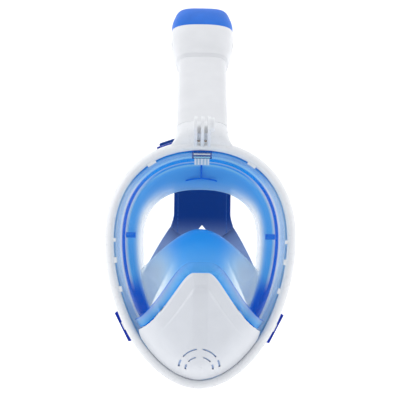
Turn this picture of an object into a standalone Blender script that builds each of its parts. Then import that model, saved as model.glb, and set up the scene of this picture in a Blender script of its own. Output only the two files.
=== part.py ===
"""Full-face snorkel mask with a detachable dry-top snorkel and a four-point head harness.

Metres, +Z up. The wearer looks along -Y, so the lens faces -Y and the head is on the +Y side.
The origin is the centre of the face seal: the opening that the wearer's face goes into.
Every ring of the mask follows one egg-shaped outline. A place on a ring is given by its inset from
that outline and by its height in front of the frame's plane, which is bent round the face.
"""

import math

import bmesh
import bpy
from mathutils import Matrix, Vector

MM = 0.001

# The frame's outline: a superellipse above its widest line and another below it.
FRAME_HALF_WIDTH = 90.0 * MM
FRAME_TOP = 92.7 * MM
FRAME_BOTTOM = 137.6 * MM
TOP_POWER = 2.2
BOTTOM_POWER = 1.88

# The frame's plane, and how it bends back round the face (metres back per square metre).
FRAME_Y = -30.0 * MM
SIDE_BEND = 2.2
END_BEND = 0.5
BEND_CENTRE_Z = -20.0 * MM

# The opening of the face seal, and the nose pocket's arch across it.
OPENING_HALF_WIDTH = 54.8 * MM
OPENING_TOP = 47.8 * MM
OPENING_BOTTOM = 98.0 * MM
OPENING_TOP_POWER = 2.4
OPENING_BOTTOM_POWER = 2.2
ARCH_PEAK_Z = 9.5 * MM
ARCH_ROUND = 37.0 * MM
ARCH_SLOPE = 1.2
POCKET_LAP = 3.0 * MM

# The skirt's wall as (inset, height), then its lip as (share of the way to the opening, height).
SKIRT_ROWS = [
    (5.7, -3.4), (9.5, -3.4), (10.7, -5.4), (11.0, -10.0), (11.9, -16.0), (14.5, -22.0), (20.0, -26.6),
]
SKIRT_LIP = [(0.4, -28.8), (0.75, -29.8), (1.0, -29.4)]

# Walls and gaps.
LENS_WALL = 2.0 * MM
SKIRT_WALL = 1.8 * MM
POCKET_WALL = 1.5 * MM
COVER_WALL = 1.6 * MM
HEAD_WALL = 1.8 * MM
GAP = 0.3 * MM

# The lens: its rim rows (inset, height), and how its wall draws in and sinks on the way down to the chin.
LENS_CENTRE_Z = -8.0 * MM
LENS_CROWN = 38.0 * MM
NOSE_BULGE = 12.0 * MM
LENS_RIM = [
    (5.7, 1.0),
    (9.5, 1.0),
    (11.1, 2.6),
    (12.2, 7.0),
    (13.4, 13.0),
    (15.2, 19.0),
    (19.0, 24.5),
    (28.0, 29.0),
]
LENS_DRAW = 4.5 * MM
LENS_DRAW_Z = (-20.0 * MM, -85.0 * MM)
LENS_SINK = 0.55
LENS_SINK_Z = (-78.0 * MM, -108.0 * MM)

# The chin cover: its top edge is a flat, then one Bezier curve down to the corner at each side.
COVER_INSET = 10.2 * MM
COVER_FOOT = 4.4 * MM
COVER_ROUND = 34.0 * MM
COVER_RIDGE = 55.0 * MM
COVER_FLANK = 17.0 * MM
COVER_FLAT = 0.12
COVER_CORNER = 4.2 * MM
COVER_CORNER_Z = (-97.9 * MM, -81.9 * MM)
COVER_EDGE = [(6.5, -25.6), (17.0, -28.0), (27.0, -60.0), (55.1, -81.9)]

# The snorkel: a straight tube that leans back from a socket at the frame's top.
SNORKEL_FOOT = Vector((0.0, -15.8 * MM, 101.2 * MM))
SNORKEL_LEAN = math.radians(45.0)
TUBE_HALF = (24.0 * MM, 13.0 * MM)
TUBE_POWER = 3.4
TUBE_TOP = 128.0 * MM
SPIGOT_HALF = (21.4 * MM, 10.4 * MM)
SPIGOT_LENGTH = 6.0 * MM
BORE_DEPTH = 8.0 * MM
SEAM_LEVEL = 159.0 * MM
SEAM_HALF = (31.2 * MM, 20.0 * MM)
SEAM_SLANT = 13.5 * MM
SEAM_GAP = 2.0 * MM
CAP_TOP = 190.0 * MM

# The dry top's sections: (level, half width, half depth, power of the superellipse).
HEAD_ROWS = [
    (105.0, 25.4, 14.4, 3.4),
    (110.0, 26.4, 15.4, 3.2),
    (118.0, 28.2, 17.4, 2.9),
    (130.0, 30.4, 19.2, 2.7),
    (143.0, 31.4, 20.0, 2.6),
]
CAP_ROWS = [
    (175.5, 29.4, 18.6, 3.0),
    (181.0, 27.6, 17.0, 3.4),
    (186.0, 24.4, 13.6, 3.8),
    (189.0, 17.5, 8.6, 3.6),
]
VALVE_DECK = 136.0 * MM

# The crown that carries the socket, and the action-camera mount: three prongs that point forward and up.
CROWN_HALF_WIDTH = 33.5 * MM
PRONG_WIDTH = 3.2 * MM
PRONG_PITCH = 6.2 * MM
PRONG_RADIUS = 7.3 * MM
PRONG_ROOT = Vector((0.0, -27.0 * MM, 92.0 * MM))
PRONG_TIP = Vector((0.0, -43.0 * MM, 106.5 * MM))
PRONG_BORE = 2.6 * MM
NUT_RADIUS = 4.6 * MM

# The harness clips: (name, side, place along the outline from its top, width, axis inset, lean).
# The place is a share of half the outline's length. A positive lean turns the free end outwards.
CLIPS = [
    ("upper_left", -1, 0.106, 18.0 * MM, 3.0 * MM, 9.0),
    ("upper_right", 1, 0.112, 18.0 * MM, 5.4 * MM, -8.0),
    ("lower_left", -1, 0.712, 31.0 * MM, 0.8 * MM, 0.0),
    ("lower_right", 1, 0.712, 31.0 * MM, 0.8 * MM, 0.0),
]
CLIP_LENGTH = 27.0 * MM
CLIP_WALL = 2.6 * MM
KNUCKLE_RADIUS = 3.0 * MM
CLIP_TOP = KNUCKLE_RADIUS + 0.4 * MM
CLIP_BRIDGE = 1.5 * MM
PIN_RADIUS = 1.2 * MM
LUG_HALF_WIDTH = 4.0 * MM
STRAP_THICKNESS = 2.0 * MM

# The harness behind the head.
PAD_Y = 80.0 * MM
PAD_HALF_WIDTH = 29.0 * MM
PAD_TOP = 74.0 * MM
PAD_NOTCH = 12.0 * MM
PAD_THICKNESS = 3.0 * MM
PAD_SHIFT = 2.5 * MM

# How finely round shapes are divided.
RING_COUNT = 52
SHEET_COUNT = 52
POCKET_COUNT = 36
TUBE_COUNT = 28
DENSE = 720

# How far a cutter reaches to pass right through what it cuts.
THROUGH = 30.0 * MM

# Turns that lay a prism's own Z axis along its parent's X axis or along its Y axis.
SIDEWAYS = Matrix(((0.0, 0.0, 1.0), (1.0, 0.0, 0.0), (0.0, 1.0, 0.0))).to_4x4()
UPRIGHT = Matrix(((1.0, 0.0, 0.0), (0.0, 0.0, 1.0), (0.0, 1.0, 0.0))).to_4x4()
ALONG_X = Matrix(((0.0, 0.0, 1.0), (0.0, 1.0, 0.0), (-1.0, 0.0, 0.0))).to_4x4()

COLOURS = {
    "white_plastic": ((0.86, 0.87, 0.90, 1.0), 0.28),
    "blue_plastic": ((0.04, 0.17, 0.68, 1.0), 0.30),
    "clear_lens": ((0.88, 0.93, 1.00, 1.0), 0.05),
    "blue_silicone": ((0.05, 0.28, 0.82, 1.0), 0.35),
    "clear_silicone": ((0.80, 0.88, 0.95, 1.0), 0.40),
    "navy_elastic": ((0.006, 0.035, 0.22, 1.0), 0.85),
    "white_foam": ((0.85, 0.85, 0.82, 1.0), 0.80),
    "brass": ((0.45, 0.30, 0.18, 1.0), 0.35),
    "steel": ((0.60, 0.61, 0.63, 1.0), 0.30),
}
METALS = ("brass", "steel")


# ---------------------------------------------------------------- materials and objects


def material(name):
    found = bpy.data.materials.get(name)
    if found:
        return found
    made = bpy.data.materials.new(name)
    made.use_nodes = True
    shader = made.node_tree.nodes["Principled BSDF"]
    colour, roughness = COLOURS[name]
    shader.inputs["Base Color"].default_value = colour
    shader.inputs["Roughness"].default_value = roughness
    shader.inputs["Metallic"].default_value = 1.0 if name in METALS else 0.0
    if name == "clear_lens":
        shader.inputs["Transmission Weight"].default_value = 1.0
    return made


def object_of(name, points, faces, slot, parent=None):
    """A named mesh object, with its faces turned outwards."""
    mesh = bpy.data.meshes.new(name)
    mesh.from_pydata([tuple(p) for p in points], [], faces)
    work = bmesh.new()
    work.from_mesh(mesh)
    bmesh.ops.remove_doubles(work, verts=work.verts, dist=1e-6)
    bmesh.ops.recalc_face_normals(work, faces=work.faces)
    work.to_mesh(mesh)
    work.free()
    mesh.shade_smooth()
    mesh.set_sharp_from_angle(angle=math.radians(35.0))
    mesh.materials.append(material(slot))
    made = bpy.data.objects.new(name, mesh)
    bpy.context.scene.collection.objects.link(made)
    made.parent = parent
    return made


def empty_at(name, place, turn, parent=None):
    """An empty that stands on a joint's axis or at a sub-assembly's foot."""
    made = bpy.data.objects.new(name, None)
    bpy.context.scene.collection.objects.link(made)
    made.parent = parent
    made.matrix_basis = Matrix.Translation(place) @ turn.to_4x4()
    return made


def combine(target, helper, operation):
    """Adds a Boolean, and keeps its helper out of the model."""
    step = target.modifiers.new(helper.name, "BOOLEAN")
    step.operation = operation
    step.solver = "EXACT"
    step.object = helper
    helper.hide_render = True
    helper.display_type = "WIRE"


def thicken(target, thickness, even=True):
    wall = target.modifiers.new("wall", "SOLIDIFY")
    wall.thickness = thickness
    wall.offset = 0.0
    wall.use_even_offset = even


# ---------------------------------------------------------------- curves and places


def ease(low, high, value):
    """0 at low and 1 at high, smooth between them."""
    t = min(max((value - low) / (high - low), 0.0), 1.0)
    return t * t * (3.0 - 2.0 * t)


def bezier(a, b, c, d, t):
    s = 1.0 - t
    return a * s**3 + b * 3.0 * s * s * t + c * 3.0 * s * t * t + d * t**3


def evenly(points, count):
    """count points spaced evenly round a closed line."""
    lengths = [0.0]
    for here, there in zip(points, points[1:] + points[:1]):
        lengths.append(lengths[-1] + (there - here).length)
    found, k = [], 0
    for step in range(count):
        want = lengths[-1] * step / count
        while lengths[k + 1] < want:
            k += 1
        share = (want - lengths[k]) / (lengths[k + 1] - lengths[k])
        found.append(points[k].lerp(points[(k + 1) % len(points)], share))
    return found


def egg(half_width, top, bottom, top_power, bottom_power, count=DENSE):
    """Points (x, z) round an egg, from its top and towards +X first."""
    points = []
    for step in range(DENSE):
        angle = math.tau * step / DENSE
        across, up = math.sin(angle), math.cos(angle)
        power, height = (top_power, top) if up >= 0.0 else (bottom_power, bottom)
        x = math.copysign(half_width * abs(across) ** (2.0 / power), across)
        z = math.copysign(height * abs(up) ** (2.0 / power), up)
        points.append(Vector((x, z)))
    return evenly(points, count)


def outline(count=DENSE):
    return egg(FRAME_HALF_WIDTH, FRAME_TOP, FRAME_BOTTOM, TOP_POWER, BOTTOM_POWER, count)


def inward(points, k):
    """The normal at point k of a closed line that runs from the top towards +X, pointing inwards."""
    along = points[(k + 1) % len(points)] - points[k - 1]
    return Vector((along.y, -along.x)).normalized()


def bend(x, z):
    return SIDE_BEND * x * x + END_BEND * (z - BEND_CENTRE_Z) ** 2


def place(x, z, height):
    """A point at (x, z), that height in front of the frame's bent plane."""
    return Vector((x, FRAME_Y - height + bend(x, z), z))


def lens_rim_row(points, k, row):
    """One of the lens's rim rows: its wall draws in and sinks where the chin cover stands over it."""
    inset, height = LENS_RIM[row]
    inset, height = inset * MM, height * MM
    z = points[k].y
    if row > 1:
        inset += LENS_DRAW * ease(*LENS_DRAW_Z, z)
        height *= 1.0 - LENS_SINK * ease(*LENS_SINK_Z, z)
    return points[k] + inward(points, k) * inset, height


def lens_place(points, k, share):
    """A point of the lens between its last rim row (share 1) and its middle (share 0)."""
    rim, height = lens_rim_row(points, k, len(LENS_RIM) - 1)
    spot = Vector((0.0, LENS_CENTRE_Z)).lerp(rim, share)
    swell = nose_bulge(spot.x, spot.y)
    return place(spot.x, spot.y, height + (LENS_CROWN - height) * (1.0 - share * share) + swell)


def nose_bulge(x, z):
    """How far the lens swells over the nose, from its bridge down to the lips."""
    fore = ease(14.0 * MM, -34.0 * MM, z) * (1.0 - ease(-66.0 * MM, -96.0 * MM, z))
    wide = 24.0 * MM + 20.0 * MM * ease(-10.0 * MM, -80.0 * MM, z)
    return NOSE_BULGE * fore * (1.0 - ease(4.0 * MM, wide, abs(x)))


def inset_at(points, spot):
    """How far a spot lies inside the outline."""
    return min((spot - p).length for p in points)


def arch_height(x):
    """The nose pocket's arch: a hyperbola with its peak over the nose's bridge."""
    return ARCH_PEAK_Z + ARCH_ROUND - math.hypot(ARCH_ROUND, ARCH_SLOPE * x)


def opening_line(lap, count=DENSE):
    """The face seal's opening, grown at its sides and its bottom by a lap."""
    half_width, bottom = OPENING_HALF_WIDTH + lap, OPENING_BOTTOM + lap
    return egg(half_width, OPENING_TOP, bottom, OPENING_TOP_POWER, OPENING_BOTTOM_POWER, count)


def pocket_rim(count):
    """The nose pocket's rim: the arch above, and the seal's opening below, lapped a little past it."""
    opening = opening_line(POCKET_LAP)
    low = [p for p in opening if p.y < arch_height(p.x)]
    ends = low[0].x
    steps = 60
    right = [Vector((ends * t / steps, arch_height(ends * t / steps))) for t in range(steps)]
    left = [Vector((-p.x, p.y)) for p in reversed(right[1:])]
    return evenly(right + low + left, count)


# ---------------------------------------------------------------- ways to make a shape


def grid_faces(rows, count):
    """The faces between closed rows of points."""
    faces = []
    for r in range(rows - 1):
        for k in range(count):
            here, after = r * count + k, r * count + (k + 1) % count
            faces.append((here, after, after + count, here + count))
    return faces


def ring(name, profile, slot):
    """A closed ring that sweeps a closed profile of (inset, height) round the outline."""
    count = RING_COUNT
    points = outline(count)
    spots, faces = [], []
    size = len(profile)
    for k in range(count):
        for j, (inset, height) in enumerate(profile):
            spot = points[k] + inward(points, k) * inset * MM
            spots.append(place(spot.x, spot.y, height * MM))
            after, side = (k + 1) % count, (j + 1) % size
            faces.append((k * size + j, k * size + side, after * size + side, after * size + j))
    return object_of(name, spots, faces, slot)


def skin(name, rows, slot, thickness, middle=None, parent=None):
    """A wall through closed rows of points, one after the other. middle closes the last row."""
    count = len(rows[0])
    spots = [p for row in rows for p in row]
    faces = grid_faces(len(rows), count)
    if middle is not None:
        last = (len(rows) - 1) * count
        spots.append(middle)
        faces += [(last + k, last + (k + 1) % count, len(spots) - 1) for k in range(count)]
    made = object_of(name, spots, faces, slot, parent)
    thicken(made, thickness)
    return made


def loft(name, rows, slot, parent=None, strips=False):
    """A solid through closed rows of points. strips fills bent ends from side to side."""
    count = len(rows[0])
    spots = [p for row in rows for p in row]
    last = len(spots) - count
    faces = [tuple(range(count)), tuple(range(last, last + count))]
    if strips:
        half = count // 2
        pairs = [(k % count, (half - 1 - k) % count) for k in range(-(half // 2), half // 2)]
        faces = [
            (base + a, base + b, base + d, base + c)
            for base in (0, last)
            for (a, b), (c, d) in zip(pairs, pairs[1:])
        ]
    return object_of(name, spots, faces + grid_faces(len(rows), count), slot, parent)


def oval(half, power, level, count=TUBE_COUNT, centre=(0.0, 0.0)):
    """A superellipse round the local Z axis, from its front (-Y) and towards +X first."""
    row = []
    for step in range(count):
        angle = math.tau * (step + 0.5) / count
        across, back = math.sin(angle), -math.cos(angle)
        x = math.copysign(half[0] * abs(across) ** (2.0 / power), across)
        y = math.copysign(half[1] * abs(back) ** (2.0 / power), back)
        row.append(Vector((centre[0] + x, centre[1] + y, level)))
    return row


def prism(name, shape, low, high, slot, parent=None, turn=None):
    """A solid with flat ends from a closed (x, y) shape, between two levels of Z, then turned."""
    rows = [[Vector((x, y, level)) for x, y in shape] for level in (low, high)]
    if turn is not None:
        rows = [[turn @ p for p in row] for row in rows]
    return loft(name, rows, slot, parent)


def circle(radius, count, centre=(0.0, 0.0)):
    steps = [math.tau * (k + 0.5) / count for k in range(count)]
    return [(centre[0] + radius * math.cos(a), centre[1] + radius * math.sin(a)) for a in steps]


def rectangle(x0, x1, y0, y1):
    return [(x0, y0), (x1, y0), (x1, y1), (x0, y1)]


def rounded(half_x, half_y, radius, centre=(0.0, 0.0), steps=4):
    """A rectangle with round corners."""
    shape = []
    for turn in range(4):
        sx = 1.0 if turn in (0, 3) else -1.0
        sy = 1.0 if turn in (0, 1) else -1.0
        for step in range(steps + 1):
            angle = math.pi / 2.0 * (turn + step / steps)
            x = centre[0] + sx * (half_x - radius) + radius * math.cos(angle)
            y = centre[1] + sy * (half_y - radius) + radius * math.sin(angle)
            shape.append((x, y))
    return shape


def washer(name, outer, inner, low, high, slot, count, parent=None):
    """A round ring about the local Z axis."""
    profile = [(outer, low), (outer, high), (inner, high), (inner, low)]
    spots, faces = [], []
    for k in range(count):
        angle = math.tau * k / count
        for j, (radius, level) in enumerate(profile):
            spots.append(Vector((radius * math.cos(angle), radius * math.sin(angle), level)))
            after, side = (k + 1) % count, (j + 1) % 4
            faces.append((k * 4 + j, k * 4 + side, after * 4 + side, after * 4 + j))
    return object_of(name, spots, faces, slot, parent)


# ---------------------------------------------------------------- the mask's body


def front_frame():
    profile = [(0.0, -4.4), (0.0, 1.5), (1.2, 5.0), (3.6, 7.0), (6.4, 6.6), (8.6, 4.6), (9.2, 2.6)]
    profile += [(5.0, 2.6), (5.0, -4.4)]
    made = ring("front_frame", profile, "white_plastic")
    combine(made, crown(), "UNION")
    for name, x in (("left", -PRONG_PITCH), ("middle", 0.0), ("right", PRONG_PITCH)):
        combine(made, prong("prong_" + name, x, PRONG_WIDTH / 2.0, PRONG_RADIUS), "UNION")
    boss_x = PRONG_PITCH + PRONG_WIDTH / 2.0
    combine(made, prong("nut_boss", boss_x + 1.4 * MM, 1.7 * MM, 6.3 * MM, stem=False), "UNION")
    combine(made, socket_bore(), "DIFFERENCE")
    cut_duct(made)
    across = Matrix.Translation(PRONG_TIP) @ Matrix.Rotation(math.pi / 2.0, 4, "Y")
    bore = prism("prong_bore", circle(PRONG_BORE, 16), -THROUGH, THROUGH, "steel", turn=across)
    combine(made, bore, "DIFFERENCE")
    pocket = prism("nut_pocket", circle(NUT_RADIUS, 6), boss_x + 0.2 * MM, 20.0 * MM, "steel", turn=across)
    combine(made, pocket, "DIFFERENCE")
    for side in (-1, 1):
        turn = screw_turn(side)
        hole = prism(f"screw_hole_{side}", circle(1.45 * MM, 10), -4.0 * MM, 9.0 * MM, "steel", turn=turn)
        combine(made, hole, "DIFFERENCE")
    nut_shape = circle(NUT_RADIUS - GAP, 6)
    nut = prism("mount_nut", nut_shape, boss_x + 0.5 * MM, boss_x + 2.7 * MM, "brass", turn=across)
    nut_bore = prism("mount_nut_bore", circle(2.1 * MM, 12), 0.0, 20.0 * MM, "brass", turn=across)
    combine(nut, nut_bore, "DIFFERENCE")
    for side, name in ((-1, "left"), (1, "right")):
        turn = screw_turn(side)
        prism("mount_screw_" + name, circle(1.1 * MM, 10), -3.4 * MM, 0.4 * MM, "brass", turn=turn)


def screw_turn(side):
    """The place and direction of the brass screw at the root of a gap between two prongs."""
    spot = place(side * PRONG_PITCH / 2.0, 92.6 * MM, 7.8 * MM)
    return Matrix.Translation(spot) @ Matrix.Rotation(math.pi / 2.0 - 0.2, 4, "X")


def crown(grow=0.0, name="crown"):
    """The flare that carries the snorkel's socket, from an arc of the frame up to the socket's rim."""
    axis = Vector((0.0, math.sin(SNORKEL_LEAN), math.cos(SNORKEL_LEAN)))
    back = Vector((0.0, math.cos(SNORKEL_LEAN), -math.sin(SNORKEL_LEAN)))
    rows = []
    steps = 6
    for step in range(steps + 1):
        t = step / steps
        waist = 1.0 - (1.0 - t) ** 2.4
        row = []
        for spot in oval((1.0, 1.0), 2.8, 0.0):
            x_low = (CROWN_HALF_WIDTH + grow) * spot.x
            z_low = FRAME_TOP * (1.0 - abs(x_low / FRAME_HALF_WIDTH) ** TOP_POWER) ** (1.0 / TOP_POWER)
            low = place(x_low, z_low - 3.5 * MM - 5.0 * grow, 0.8 * MM)
            low.y += (5.2 * MM + grow) * spot.y
            rim = SNORKEL_FOOT + back * (TUBE_HALF[1] + 0.4 * MM + grow) * spot.y
            rim.x = (TUBE_HALF[0] + 0.4 * MM + grow) * spot.x
            pull = rim - axis * 16.0 * MM
            mid = low * (1.0 - t) ** 2 + pull * 2.0 * t * (1.0 - t) + rim * t * t
            row.append(Vector((low.x + (rim.x - low.x) * waist, mid.y, mid.z)))
        rows.append(row)
    return loft(name, rows, "white_plastic", strips=True)


def socket_bore():
    """The bore that the snorkel's spigot plugs into, and the air way on into the mask."""
    turn = Matrix.Translation(SNORKEL_FOOT) @ Matrix.Rotation(-SNORKEL_LEAN, 4, "X")
    spigot = (SPIGOT_HALF[0] + 0.4 * MM, SPIGOT_HALF[1] + 0.4 * MM)
    levels = [(spigot, -BORE_DEPTH), (spigot, 3.0 * MM)]
    rows = [[turn @ p for p in oval(half, TUBE_POWER, level)] for half, level in levels]
    return loft("socket_bore", rows, "white_plastic")


def prong(name, x, half_width, radius, stem=True):
    """A round plate about the mount's axis. With a stem, only its far half is round."""
    along = (PRONG_ROOT - PRONG_TIP).normalized()
    side = Vector((0.0, -along.z, along.y))
    steps = 14
    shape = [PRONG_TIP + side * a + along * b for a, b in circle(radius, steps)]
    if stem:
        angles = [math.pi * step / steps for step in range(steps + 1)]
        shape = [PRONG_TIP + (side * math.cos(a) - along * math.sin(a)) * radius for a in angles]
        shape += [PRONG_ROOT - side * radius, PRONG_ROOT + side * radius]
    rows = [[Vector((x + offset, p.y, p.z)) for p in shape] for offset in (-half_width, half_width)]
    return loft(name, rows, "white_plastic")


def rear_frame():
    profile = [(0.6, -4.8), (8.0, -4.8), (8.0, -9.0), (6.6, -10.4), (2.0, -10.4), (0.6, -9.0)]
    made = ring("rear_frame", profile, "white_plastic")
    combine(made, crown(0.5 * MM, "crown_room"), "DIFFERENCE")
    half = LUG_HALF_WIDTH
    for name, turn, _, _ in clip_frames():
        turn = turn @ ALONG_X
        stem_shape = rectangle(-2.4 * MM, 2.4 * MM, -8.0 * MM, 0.0)
        stem_half = half - 0.2 * MM
        stem = prism("stem_" + name, stem_shape, -stem_half, stem_half, "white_plastic", turn=turn)
        combine(made, stem, "UNION")
        lug_shape = circle(KNUCKLE_RADIUS - 0.2 * MM, 12)
        combine(made, prism("lug_" + name, lug_shape, -half, half, "white_plastic", turn=turn), "UNION")
        bore_shape = circle(PIN_RADIUS + GAP, 10)
        bore = prism("lug_bore_" + name, bore_shape, -THROUGH, THROUGH, "steel", turn=turn)
        combine(made, bore, "DIFFERENCE")


def perimeter_gasket():
    profile = [(5.7, -0.2), (5.7, -2.0), (9.0, -2.0), (9.0, -0.2)]
    cut_duct(ring("perimeter_gasket", profile, "blue_silicone"))


def lens():
    points = outline(SHEET_COUNT)
    rows = []
    for row in range(len(LENS_RIM)):
        spots = [lens_rim_row(points, k, row) for k in range(SHEET_COUNT)]
        rows.append([place(p.x, p.y, height) for p, height in spots])
    for share in (0.72, 0.45, 0.2):
        rows.append([lens_place(points, k, share) for k in range(SHEET_COUNT)])
    made = skin("lens", rows, "clear_lens", LENS_WALL, middle=place(0.0, LENS_CENTRE_Z, LENS_CROWN))
    hole = prism("purge_hole", circle(10.4 * MM, 18), -14.0 * MM, 14.0 * MM, "steel", turn=purge_turn())
    combine(made, hole, "DIFFERENCE")
    cut_duct(made)


def skirt_rows(count):
    """The face skirt's wall, from the bead that the frame clamps to the lip round the opening."""
    points = outline(count)
    rows = []
    for inset, height in SKIRT_ROWS:
        spots = [points[k] + inward(points, k) * inset * MM for k in range(count)]
        rows.append([place(p.x, p.y, height * MM) for p in spots])
    opening = opening_line(0.0, count)
    wall = rows[-1]
    for share, height in SKIRT_LIP:
        spots = [Vector((p.x, p.z)).lerp(opening[k], share) for k, p in enumerate(wall)]
        rows.append([place(p.x, p.y, height * MM) for p in spots])
    return rows


def face_skirt():
    cut_duct(skin("face_skirt", skirt_rows(SHEET_COUNT), "blue_silicone", SKIRT_WALL))


def pocket_rows(count):
    """The nose pocket's wall, from its rim over the face to its mouth behind the chin cover."""
    rim = pocket_rim(count)
    mouth = egg(15.0 * MM, 17.0 * MM, 19.0 * MM, 2.0, 2.0, count)
    rows = []
    steps = 6
    for step in range(steps + 1):
        t = step / steps
        row = []
        for k in range(count):
            front = mouth[k] + Vector((0.0, -58.0 * MM))
            spot = rim[k].lerp(front, t**1.25)
            row.append(place(spot.x, spot.y, (-26.6 + 43.0 * t**0.8) * MM))
        rows.append(row)
    return rows


def cheek_turn(side):
    """The place of the inhale valve in the pocket's cheek on that side. Its Z axis points to the nose."""
    rows = pocket_rows(POCKET_COUNT)
    k = 11 if side > 0 else POCKET_COUNT - 11
    spot = rows[3][k]
    across = rows[3][(k + 1) % POCKET_COUNT] - rows[3][k - 1]
    along = rows[4][k] - rows[2][k]
    inwards = across.cross(along).normalized()
    if inwards.x * side > 0.0:
        inwards.negate()
    return Matrix.Translation(spot) @ inwards.to_track_quat("Z", "Y").to_matrix().to_4x4()


def nose_pocket():
    made = skin("nose_pocket", pocket_rows(POCKET_COUNT), "blue_silicone", POCKET_WALL)
    for side, name in ((-1, "left"), (1, "right")):
        turn = cheek_turn(side)
        hole = prism("cheek_hole_" + name, circle(6.4 * MM, 14), -8.0 * MM, 8.0 * MM, "steel", turn=turn)
        combine(made, hole, "DIFFERENCE")
        at = empty_at("inhale_valve_" + name, turn.translation, turn.to_3x3())
        washer("inhale_seat_" + name, 5.9 * MM, 4.0 * MM, -1.6 * MM, 2.2 * MM, "white_plastic", 16, at)
        flap(f"inhale_flap_{name}", 5.6 * MM, 2.6 * MM, at)


def flap(name, radius, level, parent):
    """A round silicone flap whose origin is on its hinge line, at the top of its seat."""
    hinge = empty_at("hinge_" + name, Vector((0.0, radius, level)), Matrix.Identity(3), parent)
    prism(name, circle(radius, 16, (0.0, -radius)), 0.0, 0.8 * MM, "clear_silicone", hinge)


def purge_turn():
    """The place and direction of the purge valve in the lens's chin."""
    spot = place(0.0, -106.0 * MM, 12.6 * MM)
    return Matrix.Translation(spot) @ Matrix.Rotation(math.pi / 2.0 + 0.1, 4, "X")


def purge_valve():
    turn = purge_turn()
    at = empty_at("purge_valve", turn.translation, turn.to_3x3())
    seat = washer("purge_seat", 9.9 * MM, 7.6 * MM, -3.0 * MM, 3.4 * MM, "white_plastic", 20, at)
    for name, shape in (
        ("purge_bar_across", rectangle(-8.4 * MM, 8.4 * MM, -0.8 * MM, 0.8 * MM)),
        ("purge_bar_up", rectangle(-0.8 * MM, 0.8 * MM, -8.4 * MM, 8.4 * MM)),
    ):
        combine(seat, prism(name, shape, 1.4 * MM, 3.2 * MM, "white_plastic", at), "UNION")
    flap("purge_flap", 9.4 * MM, 3.8 * MM, at)


def cover_edge(share):
    """The chin cover's top edge, from its middle (0) to its corner (1)."""
    if share < COVER_FLAT:
        return Vector((COVER_EDGE[0][0] * MM * share / COVER_FLAT, COVER_EDGE[0][1] * MM))
    t = (share - COVER_FLAT) / (1.0 - COVER_FLAT)
    return bezier(*(Vector(p) * MM for p in COVER_EDGE), t)


def cover_foot_line():
    """The cover's lower edge, from the bottom of the frame up to the corner, inset from the outline."""
    points = outline()
    half = DENSE // 2
    line = []
    for k in range(half, 0, -1):
        inset = COVER_INSET + COVER_CORNER * ease(*COVER_CORNER_Z, points[k].y)
        line.append(points[k] + inward(points, k) * inset)
    return [p for p in line if p.y <= COVER_CORNER_Z[1]]


def cover_level(points, spot):
    """The cover's height at a spot: a ridge over the nose, flanks that fall away, and a steep foot."""
    down = max(0.0, -spot.y - 40.0 * MM)
    ridge = COVER_RIDGE - 3.2 * down * down
    beside = max(0.0, abs(spot.x) - 6.0 * MM) / (44.0 * MM)
    crest = ridge - COVER_FLANK * beside ** (1.0 + 0.3 * ease(-60.0 * MM, -95.0 * MM, spot.y))
    rise = min(max(inset_at(points, spot) - COVER_INSET, 0.0) / COVER_ROUND, 1.0)
    return COVER_FOOT + (crest - COVER_FOOT) * (1.0 - (1.0 - rise) ** 3)


def cover_grid(columns, rows):
    """Columns of points over the cover, each from its foot to its top edge."""
    foot = cover_foot_line()
    points = outline()
    grid = []
    for c in range(-columns, columns + 1):
        share = abs(c) / columns
        side = 1.0 if c >= 0 else -1.0
        low = foot[round(share * (len(foot) - 1))]
        top = low if share == 1.0 else cover_edge(share)
        column = []
        for r in range(rows + 1):
            spot = low.lerp(top, (r / rows) ** 1.5)
            column.append(place(side * spot.x, spot.y, cover_level(points, spot)))
        grid.append(column)
    return grid


def vent_slots():
    """The vents over the purge valve: two broken arches, cut straight through the cover."""
    middle = -113.0 * MM
    spots, faces = [], []
    arches = [
        (18.3, 20.6, 1.3, 8.0, 52.0),
        (18.3, 20.6, 1.8, 64.0, 87.0),
        (12.3, 13.1, 1.2, 15.0, 52.0),
        (12.3, 13.1, 1.7, 68.0, 94.0),
    ]
    steps = 4
    for across, up, width, start, end in arches:
        for side in (-1.0, 1.0):
            shape = []
            for edge in (-0.5, 0.5):
                turns = range(steps + 1) if edge < 0.0 else range(steps, -1, -1)
                for step in turns:
                    angle = math.radians(start + (end - start) * step / steps)
                    x = side * (across + edge * width) * math.sin(angle) * MM
                    z = middle + (up + edge * width) * math.cos(angle) * MM
                    shape.append((x, z))
            first = len(spots)
            size = len(shape)
            for y in (-110.0 * MM, -30.0 * MM):
                spots += [Vector((x, y, z)) for x, z in shape]
            faces.append(tuple(range(first, first + size)))
            faces.append(tuple(range(first + size, first + 2 * size)))
            for k in range(size):
                after = (k + 1) % size
                faces.append((first + k, first + after, first + size + after, first + size + k))
    return object_of("vent_slots", spots, faces, "steel")


def chin_cover():
    grid = cover_grid(12, 8)
    rows = len(grid[0])
    spots = [p for column in grid for p in column]
    faces = []
    for c in range(len(grid) - 1):
        for r in range(rows - 1):
            a = c * rows + r
            faces.append((a, a + 1, a + rows + 1, a + rows))
    made = object_of("chin_cover", spots, faces, "white_plastic")
    thicken(made, COVER_WALL, even=False)
    combine(made, vent_slots(), "DIFFERENCE")


def duct_way(grow):
    """The inlet duct's shape, with its lower and upper levels, all grown for a cutter."""
    shape = rounded(9.4 * MM + grow, 3.4 * MM + grow, 0.8 * MM, (0.0, -23.4 * MM), steps=2)
    return shape, 77.5 * MM - 10.0 * grow, 91.5 * MM + 24.0 * grow


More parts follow.
